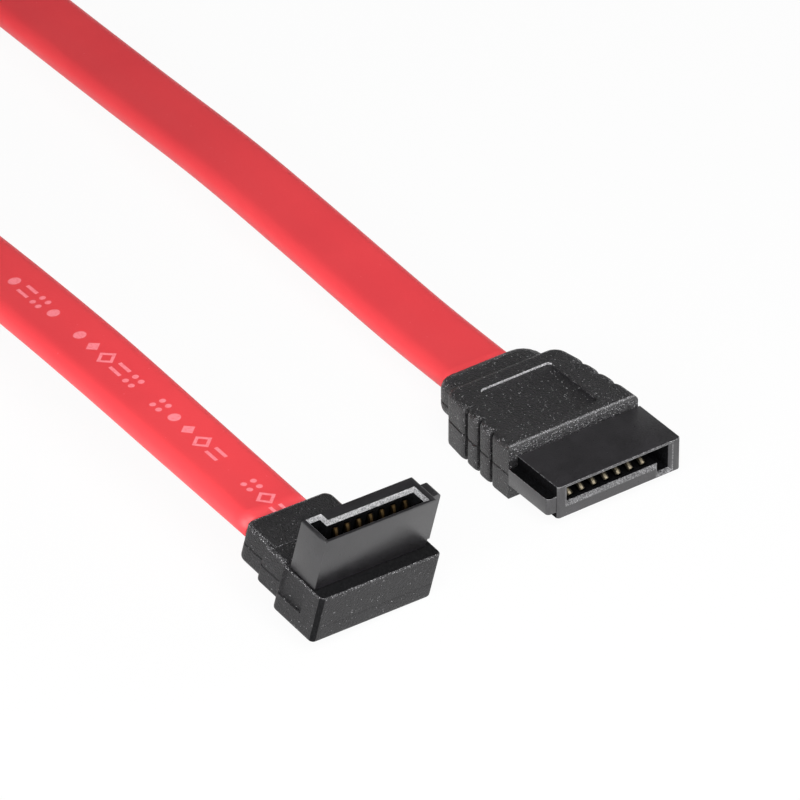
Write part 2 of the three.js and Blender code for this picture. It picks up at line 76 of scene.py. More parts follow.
# Centre of the flat cable in metres, with the turn of its width from level in degrees.
CABLE_STATIONS: tuple[tuple[float, float, float, float], ...] = (
    (-0.00965, -0.0001, 0.0027, 0.0),
    (-0.02, -0.0001, 0.0028, 0.0),
    (-0.034, -0.0001, 0.0035, 0.0),
    (-0.048, -0.0001, 0.00403, 0.0),
    (-0.062, -0.0001, 0.00382, 0.0),
    (-0.074, -0.0001, 0.00368, 0.0),
    (-0.086, -0.0001, 0.00362, 0.0),
    (-0.097, -0.0001, 0.0036, 22.0),
    (-0.108, -0.0008, 0.0036, 50.0),
    (-0.119, -0.0035, 0.00362, 76.0),
    (-0.13, -0.008, 0.0038, 90.0),
    (-0.141, -0.0119, 0.0043, 90.0),
    (-0.1515, -0.0131, 0.00475, 90.0),
    (-0.162, -0.0115, 0.0043, 90.0),
    (-0.172, -0.0067, 0.0038, 90.0),
    (-0.181, 0.0003, 0.0036, 90.0),
    (-0.19, 0.0072, 0.0036, 90.0),
    (-0.203, 0.0116, 0.0036, 90.0),
    (-0.2167, 0.0086, 0.0036, 90.0),
    (-0.2268, -0.001, 0.0036, 90.0),
    (-0.2305, -0.0144, 0.0036, 90.0),
    (-0.2268, -0.0278, 0.0036, 90.0),
    (-0.2167, -0.0374, 0.0036, 90.0),
    (-0.203, -0.0404, 0.0036, 90.0),
    (-0.19, -0.036, 0.0036, 90.0),
    (-0.181, -0.0291, 0.0036, 90.0),
    (-0.172, -0.0221, 0.0038, 90.0),
    (-0.162, -0.0173, 0.0043, 90.0),
    (-0.1515, -0.0157, 0.00475, 90.0),
    (-0.141, -0.0169, 0.0043, 90.0),
    (-0.13, -0.0207, 0.00385, 91.0),
    (-0.119, -0.0251, 0.00375, 96.0),
    (-0.108, -0.0281, 0.0039, 107.0),
    (-0.096, -0.0291, 0.00435, 126.0),
    (-0.082, -0.02915, 0.00505, 150.0),
    (-0.068, -0.02915, 0.0059, 170.0),
    (-0.054, -0.02915, 0.00675, 179.0),
    (-0.04, -0.02915, 0.0072, 180.0),
    (-0.026, -0.0291, 0.00715, 180.0),
    (-0.012, -0.02895, 0.00645, 177.0),
    (0.001, -0.02862, 0.0055, 173.7),
)


# Shader building


class Value:
    """A socket's output, with arithmetic that adds maths nodes to its tree."""

    def __init__(self, tree: "Tree", socket: bpy.types.NodeSocket) -> None:
        """Wrap an output socket of a tree."""
        self.tree = tree
        self.socket = socket

    def _with(self, operation: str, *others: "Value | float") -> "Value":
        """Value of a maths operation on this and other values."""
        return self.tree.math(operation, self, *others)

    def __add__(self, other: "Value | float") -> "Value":
        """Sum."""
        return self._with("ADD", other)

    __radd__ = __add__

    def __sub__(self, other: "Value | float") -> "Value":
        """Difference."""
        return self._with("SUBTRACT", other)

    def __rsub__(self, other: float) -> "Value":
        """Difference from a number."""
        return self.tree.math("SUBTRACT", other, self)

    def __mul__(self, other: "Value | float") -> "Value":
        """Product."""
        return self._with("MULTIPLY", other)

    __rmul__ = __mul__

    def __truediv__(self, other: "Value | float") -> "Value":
        """Quotient."""
        return self._with("DIVIDE", other)

    def __gt__(self, other: "Value | float") -> "Value":
        """One where this is the greater, otherwise zero."""
        return self._with("GREATER_THAN", other)

    def __lt__(self, other: "Value | float") -> "Value":
        """One where this is the smaller, otherwise zero."""
        return self._with("LESS_THAN", other)

    def __abs__(self) -> "Value":
        """Size without its sign."""
        return self._with("ABSOLUTE")

    def floor(self) -> "Value":
        """Whole part below."""
        return self._with("FLOOR")

    def fraction(self) -> "Value":
        """Part above the whole."""
        return self._with("FRACT")

    def wrapped(self, period: float) -> "Value":
        """Place within a repeating period, from zero up."""
        return (self / period).fraction() * period

    def step(self, low: float, high: float) -> "Value":
        """Smooth rise from 0 at low to 1 at high."""
        return self.tree.node(
            "ShaderNodeMapRange",
            {"interpolation_type": "SMOOTHSTEP", "clamp": True},
            {"Value": self, "From Min": low, "From Max": high, "To Min": 0.0, "To Max": 1.0},
            "Result",
        )


class Tree:
    """Node tree of one material or world, with its surface shader."""

    def __init__(self, owner: "Material | bpy.types.World") -> None:
        """Empty the tree of a material or a world.

        Args:
            owner: the material or world.
        """
        owner.use_nodes = True
        self.owner = owner
        self.nodes = owner.node_tree.nodes
        self.links = owner.node_tree.links
        self.nodes.clear()
        kind = "World" if isinstance(owner, bpy.types.World) else "Material"
        self.output = self.nodes.new(f"ShaderNodeOutput{kind}")

    @classmethod
    def of_material(cls, name: str) -> "Tree":
        """Empty tree of a new material of that name."""
        return cls(bpy.data.materials.new(name))

    def node(
        self,
        kind: str,
        settings: dict[str, object] | None = None,
        inputs: dict[str | int, object] | None = None,
        result: str | int = 0,
    ) -> Value:
        """Add a node.

        Args:
            kind: Blender's name of the node type.
            settings: properties that are set first.
            inputs: numbers, colours or values for its sockets, by name or place.
            result: the output that is returned.

        Returns:
            The named output.
        """
        made = self.nodes.new(kind)
        for name, setting in (settings or {}).items():
            setattr(made, name, setting)
        for name, given in (inputs or {}).items():
            if isinstance(given, Value):
                self.links.new(given.socket, made.inputs[name])
            else:
                made.inputs[name].default_value = given
        return Value(self, made.outputs[result])

    def math(self, operation: str, *terms: Value | float) -> Value:
        """Value of a maths node on numbers and values."""
        return self.node("ShaderNodeMath", {"operation": operation}, dict(enumerate(terms)))

    def mix(self, share: Value, first: object, second: object) -> Value:
        """Colour between two colours by a share from 0 to 1."""
        inputs = {MIX_SHARE: share, MIX_FIRST: first, MIX_SECOND: second}
        return self.node("ShaderNodeMix", {"data_type": "RGBA"}, inputs, MIX_RESULT)

    def place(self) -> Value:
        """Place on the piece in the shared frame, in metres."""
        return self.node("ShaderNodeTexCoord", None, None, "Object")

    def parts(self, vector: Value) -> tuple[Value, Value, Value]:
        """The three parts of a vector."""
        split = self.node("ShaderNodeSeparateXYZ", None, {0: vector}).socket.node
        return tuple(Value(self, output) for output in split.outputs)

    def noise(self, vector: Value, size: float, detail: float = 2.0) -> Value:
        """Noise whose cells are about that many metres across."""
        return self.node(
            "ShaderNodeTexNoise", None, {"Vector": vector, "Scale": 1.0 / size, "Detail": detail}
        )

    def specks(self, vector: Value, size: float) -> Value:
        """Distance to the nearest of scattered points, in cells of that many metres."""
        return self.node(
            "ShaderNodeTexVoronoi", {"feature": "F1"}, {"Vector": vector, "Scale": 1.0 / size}
        )

    def seen(self) -> tuple[Value, Value]:
        """What a ray comes from.

        Returns:
            One for what the camera sees, and one for what gloss and glass show.
        """
        rays = self.node("ShaderNodeLightPath", None, None, "Is Camera Ray")
        outputs = rays.socket.node.outputs
        glossy = Value(self, outputs["Is Glossy Ray"])
        through = Value(self, outputs["Is Transmission Ray"])
        return rays, self.math("MAXIMUM", glossy, through)

    def finish(self, shader: Value) -> None:
        """Link a shader to the tree's output."""
        self.links.new(shader.socket, self.output.inputs["Surface"])

    def edges(self) -> Value:
        """Painted highlight on a face: 0 for none, up to 1 for edge glints, 1.5 to 2.5 for a pale sheen.
        """
        return self.node("ShaderNodeAttribute", {"attribute_name": EDGE_HIGHLIGHT_LAYER}, None, "Fac")

    def bump(self, height: Value, depth: float) -> Value:
        """Normal of a surface that a height moves by up to that many metres."""
        return self.node("ShaderNodeBump", None, {"Height": height, "Distance": depth}, "Normal")

    def surface(self, **sockets: object) -> Material:
        """Finish the material with a surface shader.

        Args:
            **sockets: numbers, colours or values of the shader, with _ for a space.

        Returns:
            The material.
        """
        named = {name.replace("_", " "): given for name, given in sockets.items()}
        self.finish(self.node("ShaderNodeBsdfPrincipled", None, named))
        return self.owner


def rgb(red: float, green: float, blue: float) -> Colour:
    """Linear colour of an sRGB colour.

    Args:
        red: share of red, from 0 to 255.
        green: share of green.
        blue: share of blue.

    Returns:
        The colour, with an alpha of 1.
    """
    shares = (channel / 255 for channel in (red, green, blue))
    linear = (one / 12.92 if one <= 0.04045 else ((one + 0.055) / 1.055) ** 2.4 for one in shares)
    return (*linear, 1.0)


def scaled(colour: Colour, factor: float) -> Colour:
    """Colour whose red, green and blue are multiplied by a factor."""
    return (*(factor * part for part in colour[:3]), 1.0)


# Finishes


class Finish:
    """A surface that pieces share."""

    def material(self) -> Material:
        """New material of this finish."""
        raise NotImplementedError


class Slot(Enum):
    """Material slots of the record."""

    GRIP = "black_grip"
    HOUSING = "black_housing"
    CONTACT = "gold_contact"
    CORE = "white_core"
    WIRE = "tinned_wire"
    JACKET = "red_jacket"
    TIE = "black_tie"


@dataclass(frozen=True)
class BlackPlastic(Finish):
    """Grained black plastic with painted highlight: pale glints, most on its edges, and a pale sheen."""

    slot: Slot
    dark: Colour
    # Colour of the painted highlight: glints, edge tint and sheen.
    pale: Colour
    roughness: float
    grain: float
    grain_depth: float
    # Painted highlight: shares of pale glints on edges and on faces, and the pale tint on edges.
    edge_glint_share: float
    face_glint_share: float
    edge_highlight_tint: float
    specular: float

    def material(self) -> Material:
        """Material of this finish.

        Returns:
            The material.
        """
        tree = Tree.of_material(self.slot.value)
        place = tree.place()
        edges = tree.edges()
        fine = tree.noise(place, self.grain * MM, 3.0)
        coarse = tree.noise(place, 12 * self.grain * MM, 2.0)
        # Painted highlight: pale glint specks, most on edges, a pale edge tint, and a pale sheen where
        # marked.
        glint_field = tree.specks(place, 0.75 * self.grain * MM)
        lit = tree.noise(place, 1.6 * self.grain * MM, 1.0)
        painted_highlight = edges.step(0.0, 1.0)
        painted_pale_sheen = edges.step(1.5, 2.5)
        threshold = self.face_glint_share + painted_highlight * (self.edge_glint_share - self.face_glint_share)
        specks = (1.0 - glint_field.step(0.12, 0.36)) * (lit + threshold - 1.0).step(0.0, 0.06)
        shade = coarse.step(0.35, 0.7) * 0.4 + fine.step(0.35, 0.7) * 0.6
        body = tree.mix(shade, self.dark, scaled(self.dark, 2.4))
        body = tree.mix(painted_highlight * self.edge_highlight_tint * fine.step(0.3, 0.7), body, self.pale)
        body = tree.mix(painted_pale_sheen * (0.22 + fine.step(0.4, 0.65) * 0.33), body, self.pale)
        height = fine + specks * 0.6
        return tree.surface(
            Base_Color=tree.mix(specks, body, self.pale),
            Roughness=self.roughness + (fine - 0.5) * 0.3,
            Specular_IOR_Level=self.specular,
            Normal=tree.bump(height, self.grain_depth * MM),
        )


@dataclass(frozen=True)
class PaintedShadeBlack(Finish):
    """Painted shade: near-black for moulded walls that little light reaches."""

    name = "painted_shade_black"
    dark: Colour = (0.002, 0.002, 0.002, 1.0)
    grey: Colour = (0.005, 0.005, 0.006, 1.0)

    def material(self) -> Material:
        """Material of this finish.

        Returns:
            The material.
        """
        tree = Tree.of_material(self.name)
        grain = tree.noise(tree.place(), 0.15 * MM)
        return tree.surface(
            Base_Color=tree.mix(grain.step(0.35, 0.7), self.dark, self.grey),
            Roughness=0.75 + (grain - 0.5) * 0.2,
            Specular_IOR_Level=0.04,
            Normal=tree.bump(grain, 0.02 * MM),
        )


@dataclass(frozen=True)
class Plating(Finish):
    """Thin metal on stamped or drawn metal pieces.

    On contacts a painted highlight lies only on each contact's crown: from a level along an axis over a
    short reach, in a strip down the contact's middle; the rest is darkened as painted shade. Wires lie
    above their level, so they carry the highlight colour all over.
    """

    slot: Slot
    colour: Colour
    roughness: float
    axis: Point = (1.0, 0.0, 0.0)
    level: float = -1000.0
    fade: float = 0.25
    row: Point = (0.0, 1.0, 0.0)
    first: Point | None = None
    pitch: float = 1.27
    strip: float = 0.13
    reach: float = 0.45

    def material(self) -> Material:
        """Material of this finish.

        Returns:
            The material.
        """
        tree = Tree.of_material(self.slot.value)
        place = tree.place()
        drawn = tree.noise(place, 0.3 * MM)
        dull = scaled(self.colour, 0.8)
        # Painted shade: contacts are darkened to 0.12 of their colour away from the crown.
        painted_shade_colour = scaled(self.colour, 0.12)
        x, y, z = tree.parts(place)
        ahead = x * self.axis[0] + y * self.axis[1] + z * self.axis[2]
        # Painted highlight: the crown's strip keeps the bright colour.
        painted_crown_highlight = ahead.step((self.level - self.fade) * MM, self.level * MM)
        if self.first is not None:
            start = sum(part * one for part, one in zip(self.first, self.row))
            aside = (x * self.row[0] + y * self.row[1] + z * self.row[2] - start) / (self.pitch * MM)
            off_middle = abs((aside + 0.5).fraction() - 0.5) * self.pitch
            painted_crown_highlight = painted_crown_highlight * (1.0 - off_middle.step(self.strip * 0.7, self.strip * 1.3))
            end = self.level + self.reach
            painted_crown_highlight = painted_crown_highlight * (1.0 - ahead.step(end * MM, (end + self.fade) * MM))
        bright = tree.mix(drawn.step(0.3, 0.7), self.colour, dull)
        return tree.surface(
            Base_Color=tree.mix(painted_crown_highlight, painted_shade_colour, bright),
            Metallic=1.0,
            Roughness=self.roughness + (drawn - 0.5) * 0.2,
            Normal=tree.bump(drawn, 0.01 * MM),
        )


@dataclass(frozen=True)
class Insulation(Finish):
    """White insulation of the cores."""

    slot: Slot
    colour: Colour

    def material(self) -> Material:
        """Material of this finish.

        Returns:
            The material.
        """
        tree = Tree.of_material(self.slot.value)
        cloud = tree.noise(tree.place(), 1.2 * MM)
        grey = scaled(self.colour, 0.85)
        return tree.surface(
            Base_Color=tree.mix(cloud.step(0.3, 0.7), self.colour, grey),
            Roughness=0.5,
            Normal=tree.bump(cloud, 0.02 * MM),
        )


@dataclass(frozen=True)
class PrintedJacket(Finish):
    """Satin red jacket with pale marks printed along the middle of one side.

    The marks are diamonds, dots and dashes in cells. They stand where a legend would, and say nothing.
    """

    slot: Slot
    red: Colour
    deep_red: Colour
    ink: Colour
    cell: float = 2.0
    mark_width: float = 1.55
    mark_height: float = 1.85
    stroke: float = 0.3
    period: float = 60.0
    phase: float = 21.0
    groups: tuple[tuple[float, int], ...] = ((1.0, 4), (11.0, 5), (23.0, 5), (36.0, 5))

    def marks(self, tree: Tree) -> Value:
        """Where the marks are printed.

        Args:
            tree: the material's tree.

        Returns:
            One on the marks, zero beside them.
        """
        along, across, _ = tree.parts(tree.node("ShaderNodeUVMap"))
        place = (along / MM + self.phase).wrapped(self.period)
        inside, offset = place * 0.0, place * 0.0
        for start, count in self.groups:
            group = (place > start) * (place < start + count * self.cell)
            inside = inside + group
            offset = offset + group * start
        cell = (place - offset) / self.cell
        wide = (cell.fraction() - 0.5) * (self.cell / (self.mark_width / 2))
        tall = across / (MM * self.mark_height / 2)
        pick = (cell.floor() * 0.382 + offset * 0.217).fraction()
        radius = tree.math("SQRT", wide * wide + tall * tall)
        line = self.stroke / (self.mark_width / 2)
        in_box = (1.0 - abs(tall).step(0.94, 1.0)) * (1.0 - abs(wide).step(0.94, 1.0))
        corner_x, corner_y = abs(wide) - 0.55, abs(tall) - 0.55
        corner = tree.math("SQRT", corner_x * corner_x + corner_y * corner_y)
        shapes = (
            self.near(abs(wide) + abs(tall), 0.9, line * 0.62),
            1.0 - radius.step(0.6, 0.7),
            self.near(abs(tall), 0.55, line * 0.5) * in_box,
            1.0 - (abs(wide) + abs(tall)).step(0.75, 0.85),
            1.0 - corner.step(0.28, 0.38),
        )
        total = None
        share = 1.0 / len(shapes)
        for index, shape in enumerate(shapes):
            chosen = (pick > index * share) * (pick < (index + 1) * share) * shape
            total = chosen if total is None else total + chosen
        return total * inside

    @staticmethod
    def near(value: Value, centre: float, reach: float) -> Value:
        """One where a value is within reach of a centre, with a soft rim."""
        return 1.0 - abs(value - centre).step(reach * 0.75, reach * 1.25)

    def material(self) -> Material:
        """Material of this finish.

        Returns:
            The material.
        """
        tree = Tree.of_material(self.slot.value)
        place = tree.place()
        cloud = tree.noise(place, 9 * MM, 2.0)
        fine = tree.noise(place, 0.25 * MM, 2.0)
        flecks = 1.0 - tree.specks(place, 1.6 * MM).step(0.02, 0.06)
        marks = self.marks(tree)
        faded = marks * (0.72 + fine.step(0.3, 0.6) * 0.28)
        body = tree.mix(cloud.step(0.3, 0.75) * 0.35, self.red, self.deep_red)
        body = tree.mix(flecks * 0.25, body, self.ink)
        height = fine * 0.3 + cloud * 0.6
        return tree.surface(
            Base_Color=tree.mix(faded, body, self.ink),
            Roughness=0.44 + (fine - 0.5) * 0.12 + marks * 0.1,
            Normal=tree.bump(height, 0.03 * MM),
        )


@dataclass(frozen=True)
class WovenStrap(Finish):
    """Woven black strap with a rib along its length."""

    slot: Slot
    colour: Colour
    rib: float = 0.55

    def material(self) -> Material:
        """Material of this finish.

        Returns:
            The material.
        """
        tree = Tree.of_material(self.slot.value)
        place = tree.place()
        x, y, z = tree.parts(place)
        turns = 2 * math.pi / (self.rib * MM)
        weave = tree.math("SINE", x * turns) * tree.math("SINE", (y + z) * turns)
        fibre = tree.noise(place, 0.12 * MM, 3.0)
        lift = weave * 0.5 + fibre
        light = scaled(self.colour, 2.2)
        return tree.surface(
            Base_Color=tree.mix(lift.step(0.2, 1.0), self.colour, light),
            Roughness=0.85,
            Normal=tree.bump(lift, 0.12 * MM),
        )


GRIP_FINISH = BlackPlastic(
    slot=Slot.GRIP,
    dark=rgb(13, 12, 14),
    pale=rgb(240, 239, 242),
    roughness=0.44,
    grain=0.17,
    grain_depth=0.17,
    edge_glint_share=0.7,
    face_glint_share=0.4,
    edge_highlight_tint=0.05,
    specular=0.74,
)
ANGLED_GRIP_FINISH = replace(GRIP_FINISH, specular=0.46, edge_glint_share=0.66, face_glint_share=0.36)
HOUSING_FINISH = BlackPlastic(
    slot=Slot.HOUSING,
    dark=rgb(20, 19, 21),
    pale=rgb(196, 196, 198),
    roughness=0.34,
    grain=0.14,
    grain_depth=0.015,
    edge_glint_share=0.5,
    face_glint_share=0.24,
    edge_highlight_tint=0.3,
    specular=1.0,
)
WIRE_FINISH = Plating(Slot.WIRE, rgb(205, 206, 208), 0.35)
CORE_FINISH = Insulation(Slot.CORE, rgb(232, 230, 222))
JACKET_FINISH = PrintedJacket(
    slot=Slot.JACKET,
    red=rgb(232, 68, 74),
    deep_red=rgb(219, 58, 67),
    ink=rgb(252, 136, 145),
)
TIE_FINISH = WovenStrap(Slot.TIE, rgb(30, 30, 31))
STRAIGHT_HOUSING_FINISH = replace(HOUSING_FINISH, dark=rgb(28, 27, 29))
# Painted shade: near-black on the mouths' walls and on the straight housing's channel.
MOUTH_SHADE_FINISH = PaintedShadeBlack()
# Painted shade, a little lighter: the angled block's ledge and its near corner.
LEDGE_SHADE_FINISH = replace(MOUTH_SHADE_FINISH, dark=rgb(17, 17, 18), grey=rgb(27, 27, 28))
# Contacts' painted highlight: bright on the straight plug, dimmer as painted shade in the angled mouth.
GOLD_PAINTED_LIT = rgb(255, 240, 208)
GOLD_PAINTED_SHADE = rgb(140, 114, 76)
# Where the contacts' painted highlight starts along each mouth, in millimetres.
STRAIGHT_HIGHLIGHT_LEVEL = 7.95
ANGLED_HIGHLIGHT_LEVEL = 7.8


def contact_finish(prefix: str, place: Matrix, colour: Colour, level: float, mouth: int) -> Plating:
    """Plating of one plug's contacts.

    Args:
        prefix: the plug's name at the start of its contacts' names.
        place: from the plug's millimetres to the shared frame.
        colour: colour of the painted highlight strip.
        level: where the strip starts along the mouth's direction, in millimetres.
        mouth: which of the plug's own axes the mouth faces.

    Returns:
        The finish.
    """
    lowest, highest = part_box(f"{prefix}_contact_1")
    middle = (Vector(lowest) + Vector(highest)) / 2
    turned = place.to_3x3().normalized()
    return Plating(
        Slot.CONTACT,
        colour,
        0.45,
        axis=tuple(turned.col[mouth]),
        level=level,
        row=tuple(turned.col[1]),
        first=tuple(middle),
    )


# Meshes


def link(name: str, data: bpy.types.ID) -> Piece:
    """New object in the scene.

    Args:
        name: the object's name.
        data: its mesh, lamp or camera.

    Returns:
        The object.
    """
    made = bpy.data.objects.new(name, data)
    bpy.context.scene.collection.objects.link(made)
    return made


def to_piece(mesh: Mesh, name: str) -> Piece:
    """New object in the scene from a mesh in the making, which ends there.

    Args:
        mesh: the mesh, in metres of the shared frame.
        name: the object's name.

    Returns:
        The object, at the origin.
    """
    data = bpy.data.meshes.new(name)
    mesh.to_mesh(data)
    mesh.free()
    return link(name, data)


def shade_smooth(mesh: Mesh, sharp: float) -> None:
    """Shade a mesh smooth between its sharp edges.

    Args:
        mesh: the mesh.
        sharp: angle in degrees from which an edge is left sharp.
    """
    for face in mesh.faces:
        face.smooth = True
    for edge in mesh.edges:
        angle = edge.calc_face_angle(0.0) if edge.is_manifold else 0.0
        edge.smooth = angle < math.radians(sharp)


def face_out(mesh: Mesh) -> None:
    """Turn a mesh's faces outwards."""
    bmesh.ops.recalc_face_normals(mesh, faces=list(mesh.faces))


def bevel(
    mesh: Mesh,
    geom: list[bmesh.types.BMVert | bmesh.types.BMEdge],
    radius: float,
    segments: int,
    affect: str,
    clamp: bool = False,
) -> list[Face]:
    """Round EDGES or VERTICES by a radius, clamped where they would run together, for the new faces."""
    return bmesh.ops.bevel(
        mesh,
        geom=geom,
        offset=radius,
        offset_type="OFFSET",
        segments=segments,
        profile=0.5,
        affect=affect,
        clamp_overlap=clamp,
        material=-1,
    )["faces"]


def inset(mesh: Mesh, faces: list[Face], thickness: float, depth: float = 0.0) -> list[Face]:
    """Inset a region of faces and move it outwards by a depth, for the faces of its rim."""
    return bmesh.ops.inset_region(
        mesh, faces=faces, thickness=thickness, depth=depth, use_even_offset=True, use_boundary=True
    )["faces"]


def rectangle(
    rear: float, front: float, left: float, right: float, radii: Sequence[float]
) -> list[Corner]:
    """Corners of a rectangle with those radii, counter-clockwise from the rear left one."""
    places = ((rear, left), (front, left), (front, right), (rear, right))
    return [(x, y, radius) for (x, y), radius in zip(places, radii)]


class Shape:
    """A solid in the making, in millimetres of its own frame."""

    def __init__(self, upper_edge_glint: float = 1.0) -> None:
        """Start with nothing.

        Args:
            upper_edge_glint: how much painted highlight its upper edges will get, as Tree.edges reads
                it.
        """
        self.mesh = bmesh.new()
        self.edge_faces: list[Face] = []
        self.upper_edge_glint = upper_edge_glint

    def plan(self, corners: Sequence[Corner], height: float, segments: int = 5) -> Face:
        """Flat face at a height, as the first of its shape.

        Args:
            corners: x, y and the radius of each corner, counter-clockwise from above.
            height: z of the face.
            segments: steps round each corner.

        Returns:
            The face, facing up.
        """
        verts = [self.mesh.verts.new((x, y, height)) for x, y, _ in corners]
        self.mesh.faces.new(verts)
        for vert, (_, _, radius) in zip(verts, corners):
            if radius > 0:
                bevel(self.mesh, [vert], radius, segments, "VERTICES")
        return next(iter(self.mesh.faces))

    def slab(
        self,
        corners: Sequence[Corner],
        bottom: float,
        top: float,
        bottom_edge: float,
        top_edge: float,
        segments: int = 4,
    ) -> Face:
        """Closed slab with rounded edges round its bottom and its top.

        Args:
            corners: x, y and radius of each corner of its plan.
            bottom: lowest z.
            top: highest z.
            bottom_edge: radius round the bottom.
            top_edge: radius round the top.
            segments: steps round each edge.

        Returns:
            The top face.
        """
        piece = Shape(self.upper_edge_glint)
        face = piece.plan(corners, bottom + bottom_edge)
        grown = bmesh.ops.extrude_face_region(piece.mesh, geom=[face], use_keep_orig=True)
        top_face = next(item for item in grown["geom"] if isinstance(item, Face))
        lift = top - top_edge - bottom - bottom_edge
        bmesh.ops.translate(piece.mesh, vec=(0, 0, lift), verts=list(top_face.verts))
        face_out(piece.mesh)
        piece.round_rim(face, bottom_edge, segments)
        piece.round_rim(top_face, top_edge, segments)
        self.take(piece)
        self.mesh.faces.ensure_lookup_table()
        return max(self.mesh.faces, key=lambda one: one.calc_center_median().z + 1e-3 * one.calc_area())

    def round_rim(self, face: Face, edge: float, segments: int) -> None:
        """Round the rim of a face outwards.

        Args:
            face: the face.
            edge: radius of the rounding.
            segments: steps over it.
        """
        for step in range(segments):
            before = math.pi / 2 * step / segments
            after = math.pi / 2 * (step + 1) / segments
            width = edge * (math.cos(before) - math.cos(after))
            rise = edge * (math.sin(after) - math.sin(before))
            self.edge_faces.extend(inset(self.mesh, [face], width, rise))

    def take(self, piece: "Shape") -> None:
        """Add another shape's faces to this one, with painted highlight on its upper edges.

        Args:
            piece: the other shape, which ends there.
        """
        piece.mesh.normal_update()
        upper = [face for face in piece.edge_faces if face.is_valid and face.normal.z > 0.1]
        piece.paint_edge_highlight(upper, piece.upper_edge_glint)
        passing = bpy.data.meshes.new("passing")
        piece.mesh.to_mesh(passing)
        piece.mesh.free()
        self.mesh.from_mesh(passing)
        bpy.data.meshes.remove(passing)

    def cut(self, point: Point, normal: Point) -> None:
        """Add vertices where a plane crosses the shape."""
        geom = [*self.mesh.verts, *self.mesh.edges, *self.mesh.faces]
        bmesh.ops.bisect_plane(self.mesh, geom=geom, dist=1e-5, plane_co=point, plane_no=normal)

    def paint_edge_highlight(self, faces: Iterable[Face], amount: float) -> None:
        """Write an amount of painted highlight on some faces.

        Args:
            faces: the faces.
            amount: strength of the painted highlight, as Tree.edges reads it.
        """
        layers = self.mesh.loops.layers.float
        layer = layers.get(EDGE_HIGHLIGHT_LAYER) or layers.new(EDGE_HIGHLIGHT_LAYER)
        for face in faces:
            for loop in face.loops:
                loop[layer] = amount

    def line_round(
        self, height: float, width: float, depth: float, test: Callable[[Vector], bool]
    ) -> None:
        """Fine groove round the sides, as a mould's parting line leaves.

        Args:
            height: z of the groove.
            width: its height on the side.
            depth: how far it goes in.
            test: which vertices it may move, from their places.
        """
        for level in (height - width / 2, height, height + width / 2):
            self.cut((0, 0, level), (0, 0, 1))
        self.mesh.normal_update()
        moves = [
            (vert, Vector((vert.normal.x, vert.normal.y, 0)).normalized())
            for vert in self.mesh.verts
            if abs(vert.co.z - height) < 1e-4 and test(vert.co)
        ]
        for vert, outward in moves:
            vert.co -= outward * depth

    def finish(self, name: str, place: Matrix, sharp: float = 32.0) -> Piece:
        """Make the object of this shape.

        Args:
            name: the piece's name.
            place: from its millimetres to the shared frame in metres.
            sharp: angle in degrees from which an edge is left sharp.

        Returns:
            The object, at the origin, with its place in its mesh.
        """
        bmesh.ops.remove_doubles(self.mesh, verts=list(self.mesh.verts), dist=1e-4)
        face_out(self.mesh)
        shade_smooth(self.mesh, sharp)
        bmesh.ops.transform(self.mesh, matrix=place, verts=list(self.mesh.verts))
        return to_piece(self.mesh, name)


@dataclass
class Receptacle:
    """Housing with an L-shaped mouth, in millimetres, with its mouth at x = 0."""

    node: str
    name: str
    left: float = -4.6
    right: float = 6.0
    ceiling: float = 2.7
    lowest: float = 0.44
    lead_in: float = 0.3
    slack: float = 0.03
    edge: float = 0.06
    # Painted highlight: pale sheen on the lead-in's faces that look up, and on its sides.
    lead_in_sheen: float = 2.5
    side_lead_in_sheen: float = 2.5
    # Painted shade on the channel above the rail, when set.
    channel_painted_shade: bool = False
    channel_wall: float = 0.4
    rail_wall: float = 0.3

    def part_of_mouth(self, centre: Vector) -> tuple[bool, bool]:
        """Which part of the mouth a face is on.

        Args:
            centre: the face's centre, in the housing's millimetres.

        Returns:
            Whether it is a wall of the mouth, and whether it is on the lead-in.
        """
        margin = self.slack + (self.lead_in if centre.x > -self.lead_in else 0.0)
        ahead = centre.x + self.lead_in + self.slack
        within = (
            self.left - margin < centre.y < self.right + margin
            and self.lowest - margin < centre.z < self.ceiling + margin
        )
        return within and ahead < 0, within and ahead >= 0 and centre.x < -self.slack

    def build(self, place: Matrix) -> Piece:
        """Housing with rounded edges in painted highlight, and mouth walls as second material: painted
        shade.

        Args:
            place: from the housing's millimetres to the shared frame in metres.

        Returns:
            The object, at the origin.
        """
        made = softened_copy(self.node, self.name, self.edge * MM)
        back = place.inverted()
        turned = back.to_3x3().normalized()
        outermost = min((back @ vert.co).y for vert in made.data.vertices)
        painted_highlight = made.data.attributes[EDGE_HIGHLIGHT_LAYER].data
        for face in made.data.polygons:
            centre, normal = back @ face.center, turned @ face.normal
            inside, lead_in = self.part_of_mouth(centre)
            # Painted shade: the walls of the mouth get the near-black second material.
            face.material_index = int(inside)
            # Painted shade: the set-back wall above the rail and the rail's top get the near-black
            # material.
            if self.channel_painted_shade and centre.y < self.left - self.channel_wall:
                set_back = normal.y < -0.9 and centre.y > outermost + self.rail_wall
                on_rail = normal.z > 0.9 and centre.z < self.ceiling
                face.material_index = int(set_back or on_rail)
            # Painted highlight: pale sheen on the lead-in's faces that do not look down.
            if lead_in and normal.z > -0.3:
                for index in face.loop_indices:
                    painted_highlight[index].value = self.lead_in_sheen if normal.z > 0.3 else self.side_lead_in_sheen
        return made


